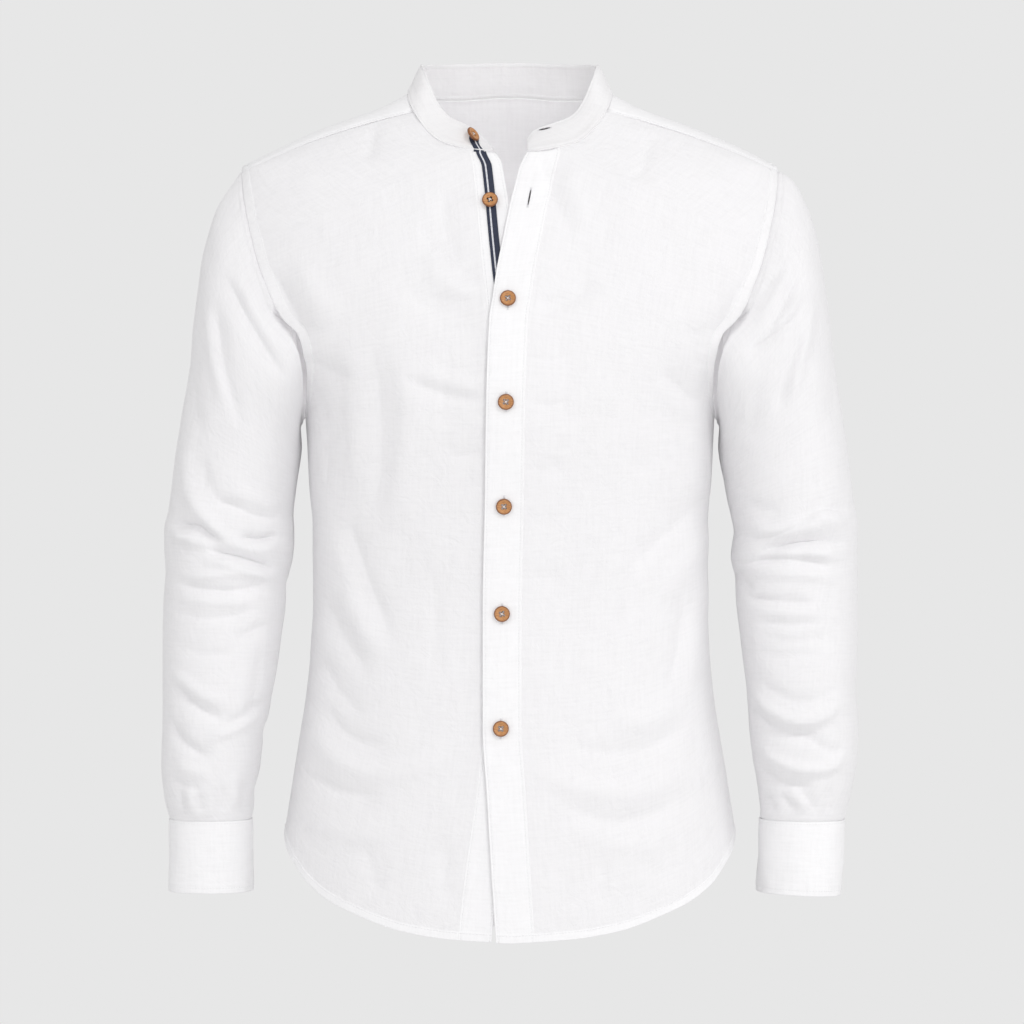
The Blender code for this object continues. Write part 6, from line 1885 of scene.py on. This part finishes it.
def buttonhole(start, end, normal, lift):
    """The satin threads round a buttonhole from start to end, as short lines across it on both its sides."""
    length = np.linalg.norm(end - start)
    along = (end - start) / length
    aside = np.cross(normal, along)
    found = []
    for at in np.arange(0.0, length, HOLE_STITCH):
        inner = 0.0 if min(at, length - at) < HOLE_BAR else SHUT_SLIT
        for side in (-1.0, 1.0):
            ends = [start + along * at + aside * side * reach + normal * lift
                    for reach in (inner, HOLE_WIDTH / 2.0)]
            found.append((np.array(ends), np.array([normal, normal])))
    return found


def hole_lines(name, ends, lift, half):
    """A buttonhole between two pixels of the picture on a sheet: its threads, and the line of the painted
    shadow in its slit.
    """
    (start, first), (end, last) = (on_sheet(name, pixel) for pixel in ends)
    normal = unit(first + last)
    slit = [lerp(start, end, share) + normal * (lift + 0.0003) for share in (0.10, 0.90)]
    return buttonhole(start, end, normal, lift), (*slit, normal, half)


SLIT_HALF_WIDTHS = (0.15, 0.70, 0.95, 1.0, 1.0, 0.95, 0.85, 0.6, 0.15)  # shares, from end to end


def painted_slit_shadows(slits):
    """Dark slivers, four points to a section: painted shadow in the buttonholes, where what is seen through
    them lies in shade.
    """
    points, faces = [], []
    for start, end, normal, half in slits:
        aside = np.cross(normal, unit(end - start))
        index = np.arange(4 * len(SLIT_HALF_WIDTHS)).reshape(-1, 4) + len(points)
        for share, width in zip(np.linspace(0.0, 1.0, len(index)), np.array(SLIT_HALF_WIDTHS) * half):
            at = lerp(start, end, share)
            points += [at - aside * width, at + normal * 0.0001, at + aside * width, at - normal * 0.0002]
        faces += [*quads(index, np.roll(index, -1, axis=1)), index[0][::-1], index[-1]]
    return np.array(points), [face.tolist() for face in faces]


def build_buttonholes():
    holes = [hole_lines(name, ends, HOLE_LIFT + 0.0001, half) for name, ends, half in OPEN_HOLES]
    for x, y in FRONT_BUTTON_PIXELS:
        ends = ((x + 0.2, y - HOLE_REACH_Z - 0.5), (x - 0.2, y + HOLE_REACH_Z))
        holes.append(hole_lines("cloth_placket", ends, HOLE_LIFT, SHUT_SLIT))
    threads = [line for rows, _ in holes for line in rows]
    column, row = int(np.argmin(np.abs(CUFF_ANGLES - CUFF_BUTTON_TURN))), len(CUFF_UPS) // 2
    for _, name in SIDES:
        _, grid, normals = made[f"cloth_cuff_{name}"]
        across = unit(grid[row, column + 2] - grid[row, column - 2]) * CUFF_HOLE_HALF
        middle = grid[row, column]
        threads += buttonhole(middle - across, middle + across, normals[row, column], HOLE_LIFT)
    stitches("buttonhole_threads", threads, HOLE_THREAD, length=0.0008, gap=0.00005, radius=0.00026)
    # the dark slivers are painted shadow in the slits
    mesh_from("buttonhole_painted_shadows", *painted_slit_shadows([slit for _, slit in holes]), SLIT_PAINTED_SHADOW)


# ---- the whole shirt --------------------------------------------------------------------------------
for side, name in SIDES:
    build_front(side, name)
build_back()
build_yoke()
build_strips()
build_collar()
for side, name in SIDES:
    build_sleeve(side, name)
    build_cuff(side, name)
    build_sleeve_placket(side, name)
build_ribbons()
build_buttons()
stitch_lines = sew()
build_buttonholes()

RESTS = {
    "cloth_front_right": ["cloth_yoke", "cloth_button_band"],
    "cloth_front_left": ["cloth_yoke", "cloth_placket"],
    "cloth_back": ["cloth_yoke"],
    "cloth_yoke": ["cloth_collar"],
    "cloth_placket": ["cloth_front_left"],
    "cloth_button_band": ["cloth_front_right"],
    "cloth_collar": ["cloth_yoke"],
    "cloth_sleeve_right": ["cloth_front_right"],
    "cloth_sleeve_left": ["cloth_front_left"],
    "cloth_cuff_right": ["cloth_sleeve_right"],
    "cloth_cuff_left": ["cloth_sleeve_left"],
    "cloth_sleeve_placket_right": ["cloth_sleeve_right"],
    "cloth_sleeve_placket_left": ["cloth_sleeve_left"],
}
for name, rests_on in RESTS.items():
    declare(name, rests_on)

# ---- floor, light and camera ------------------------------------------------------------------------
FLOOR_LEVEL = -1.30
FLOOR_REACH = 3.2
FLOOR_SIDES = 96
BACKGROUND = (0.799,) * 3


def floor_finish():
    """Pale grey that fades out towards the floor's edge."""
    finish, shader, end, add = new_finish("floor_pale", 0.8)
    place = add("TexCoord", "Object")
    cloud = add("TexNoise", "Fac", Vector=place, Scale=2.0, Detail=2.0)
    fill(shader, Base_Color=ramp(add, cloud, ((0.3, (0.79,) * 3), (0.7, (0.81,) * 3))))
    reach = add("VectorMath", "Value", {0: place}, operation="LENGTH")
    fade = add("MapRange", "Result", Value=reach, From_Min=0.45 * FLOOR_REACH, From_Max=0.98 * FLOOR_REACH,
               interpolation_type="SMOOTHSTEP")
    clear = add("BsdfTransparent", 0)
    fill(end, Surface=add("MixShader", 0, {0: fade, 1: shader.outputs[0], 2: clear}))
    return finish


def build_floor():
    turns = 2.0 * math.pi * np.arange(FLOOR_SIDES) / FLOOR_SIDES
    points = np.stack([FLOOR_REACH * np.cos(turns), FLOOR_REACH * np.sin(turns), 0.0 * turns], axis=1)
    data = bpy.data.meshes.new("floor")
    data.from_pydata(points, [], [list(range(FLOOR_SIDES))])
    data.materials.append(floor_finish())
    floor = put("floor", data)
    floor.location = (0.0, 0.0, FLOOR_LEVEL)


def build_world(light, power):
    """The camera sees a plain grey wall, and the shirt is lit by a brighter room."""
    world = bpy.data.worlds.new("studio")
    bpy.context.scene.world = world
    world.use_nodes = True
    nodes = world.node_tree.nodes
    add = adder(world.node_tree)
    fill(nodes["Background"], Color=(*light, 1.0), Strength=power)
    wall = add("Background", 0, Color=(*BACKGROUND, 1.0))
    seen_by = add("LightPath", "Is Camera Ray")
    mix = add("MixShader", 0, {0: seen_by, 1: nodes["Background"].outputs[0], 2: wall})
    fill(nodes["World Output"], Surface=mix)


def add_light(name, place, size, power, aim):
    data = bpy.data.lights.new(name, "AREA")
    data.shape = "DISK"
    data.size = size
    data.energy = power
    light = put(name, data)
    light.location = place
    light.rotation_euler = (Vector(aim) - Vector(place)).to_track_quat("-Z", "Y").to_euler()


MIDDLE = (0.0, 0.0, -0.35)
LIGHTS = {  # place, size, watts and what it is aimed at
    "key": ((1.5, -2.6, 2.3), 0.9, 25.5, MIDDLE),
    "second": ((-1.5, -2.6, 2.3), 0.9, 11.0, MIDDLE),
    "front": ((0.4, -3.4, -0.4), 1.2, 12.0, MIDDLE),
    "left fill": ((-1.7, -2.9, -0.8), 1.2, 4.5, MIDDLE),
    "right fill": ((1.7, -2.9, -0.8), 1.2, 6.5, MIDDLE),
    "side": ((2.9, -0.9, -0.1), 1.2, 9.0, MIDDLE),
    "other side": ((-2.9, -0.9, -0.1), 1.2, 3.5, MIDDLE),
    "inside": ((0.0, 0.0, -0.30), 0.14, 0.17, (0.0, 0.0, 0.1)),  # the glow inside white cloth
}

build_floor()
build_world((1.0, 0.995, 0.998), 0.68)
for name, values in LIGHTS.items():
    add_light(name, *values)

lens = bpy.data.cameras.new("camera")
lens.lens = 129.3
lens.sensor_width = 36.0
camera = put("camera", lens)
camera.location = Vector(CAMERA)
camera.rotation_euler = (math.pi / 2.0, 0.0, 0.0)
scene = bpy.context.scene
scene.camera = camera
scene.view_settings.view_transform = "Standard"
scene.cycles.diffuse_bounces = 8  # white cloth passes light on many times inside the shirt
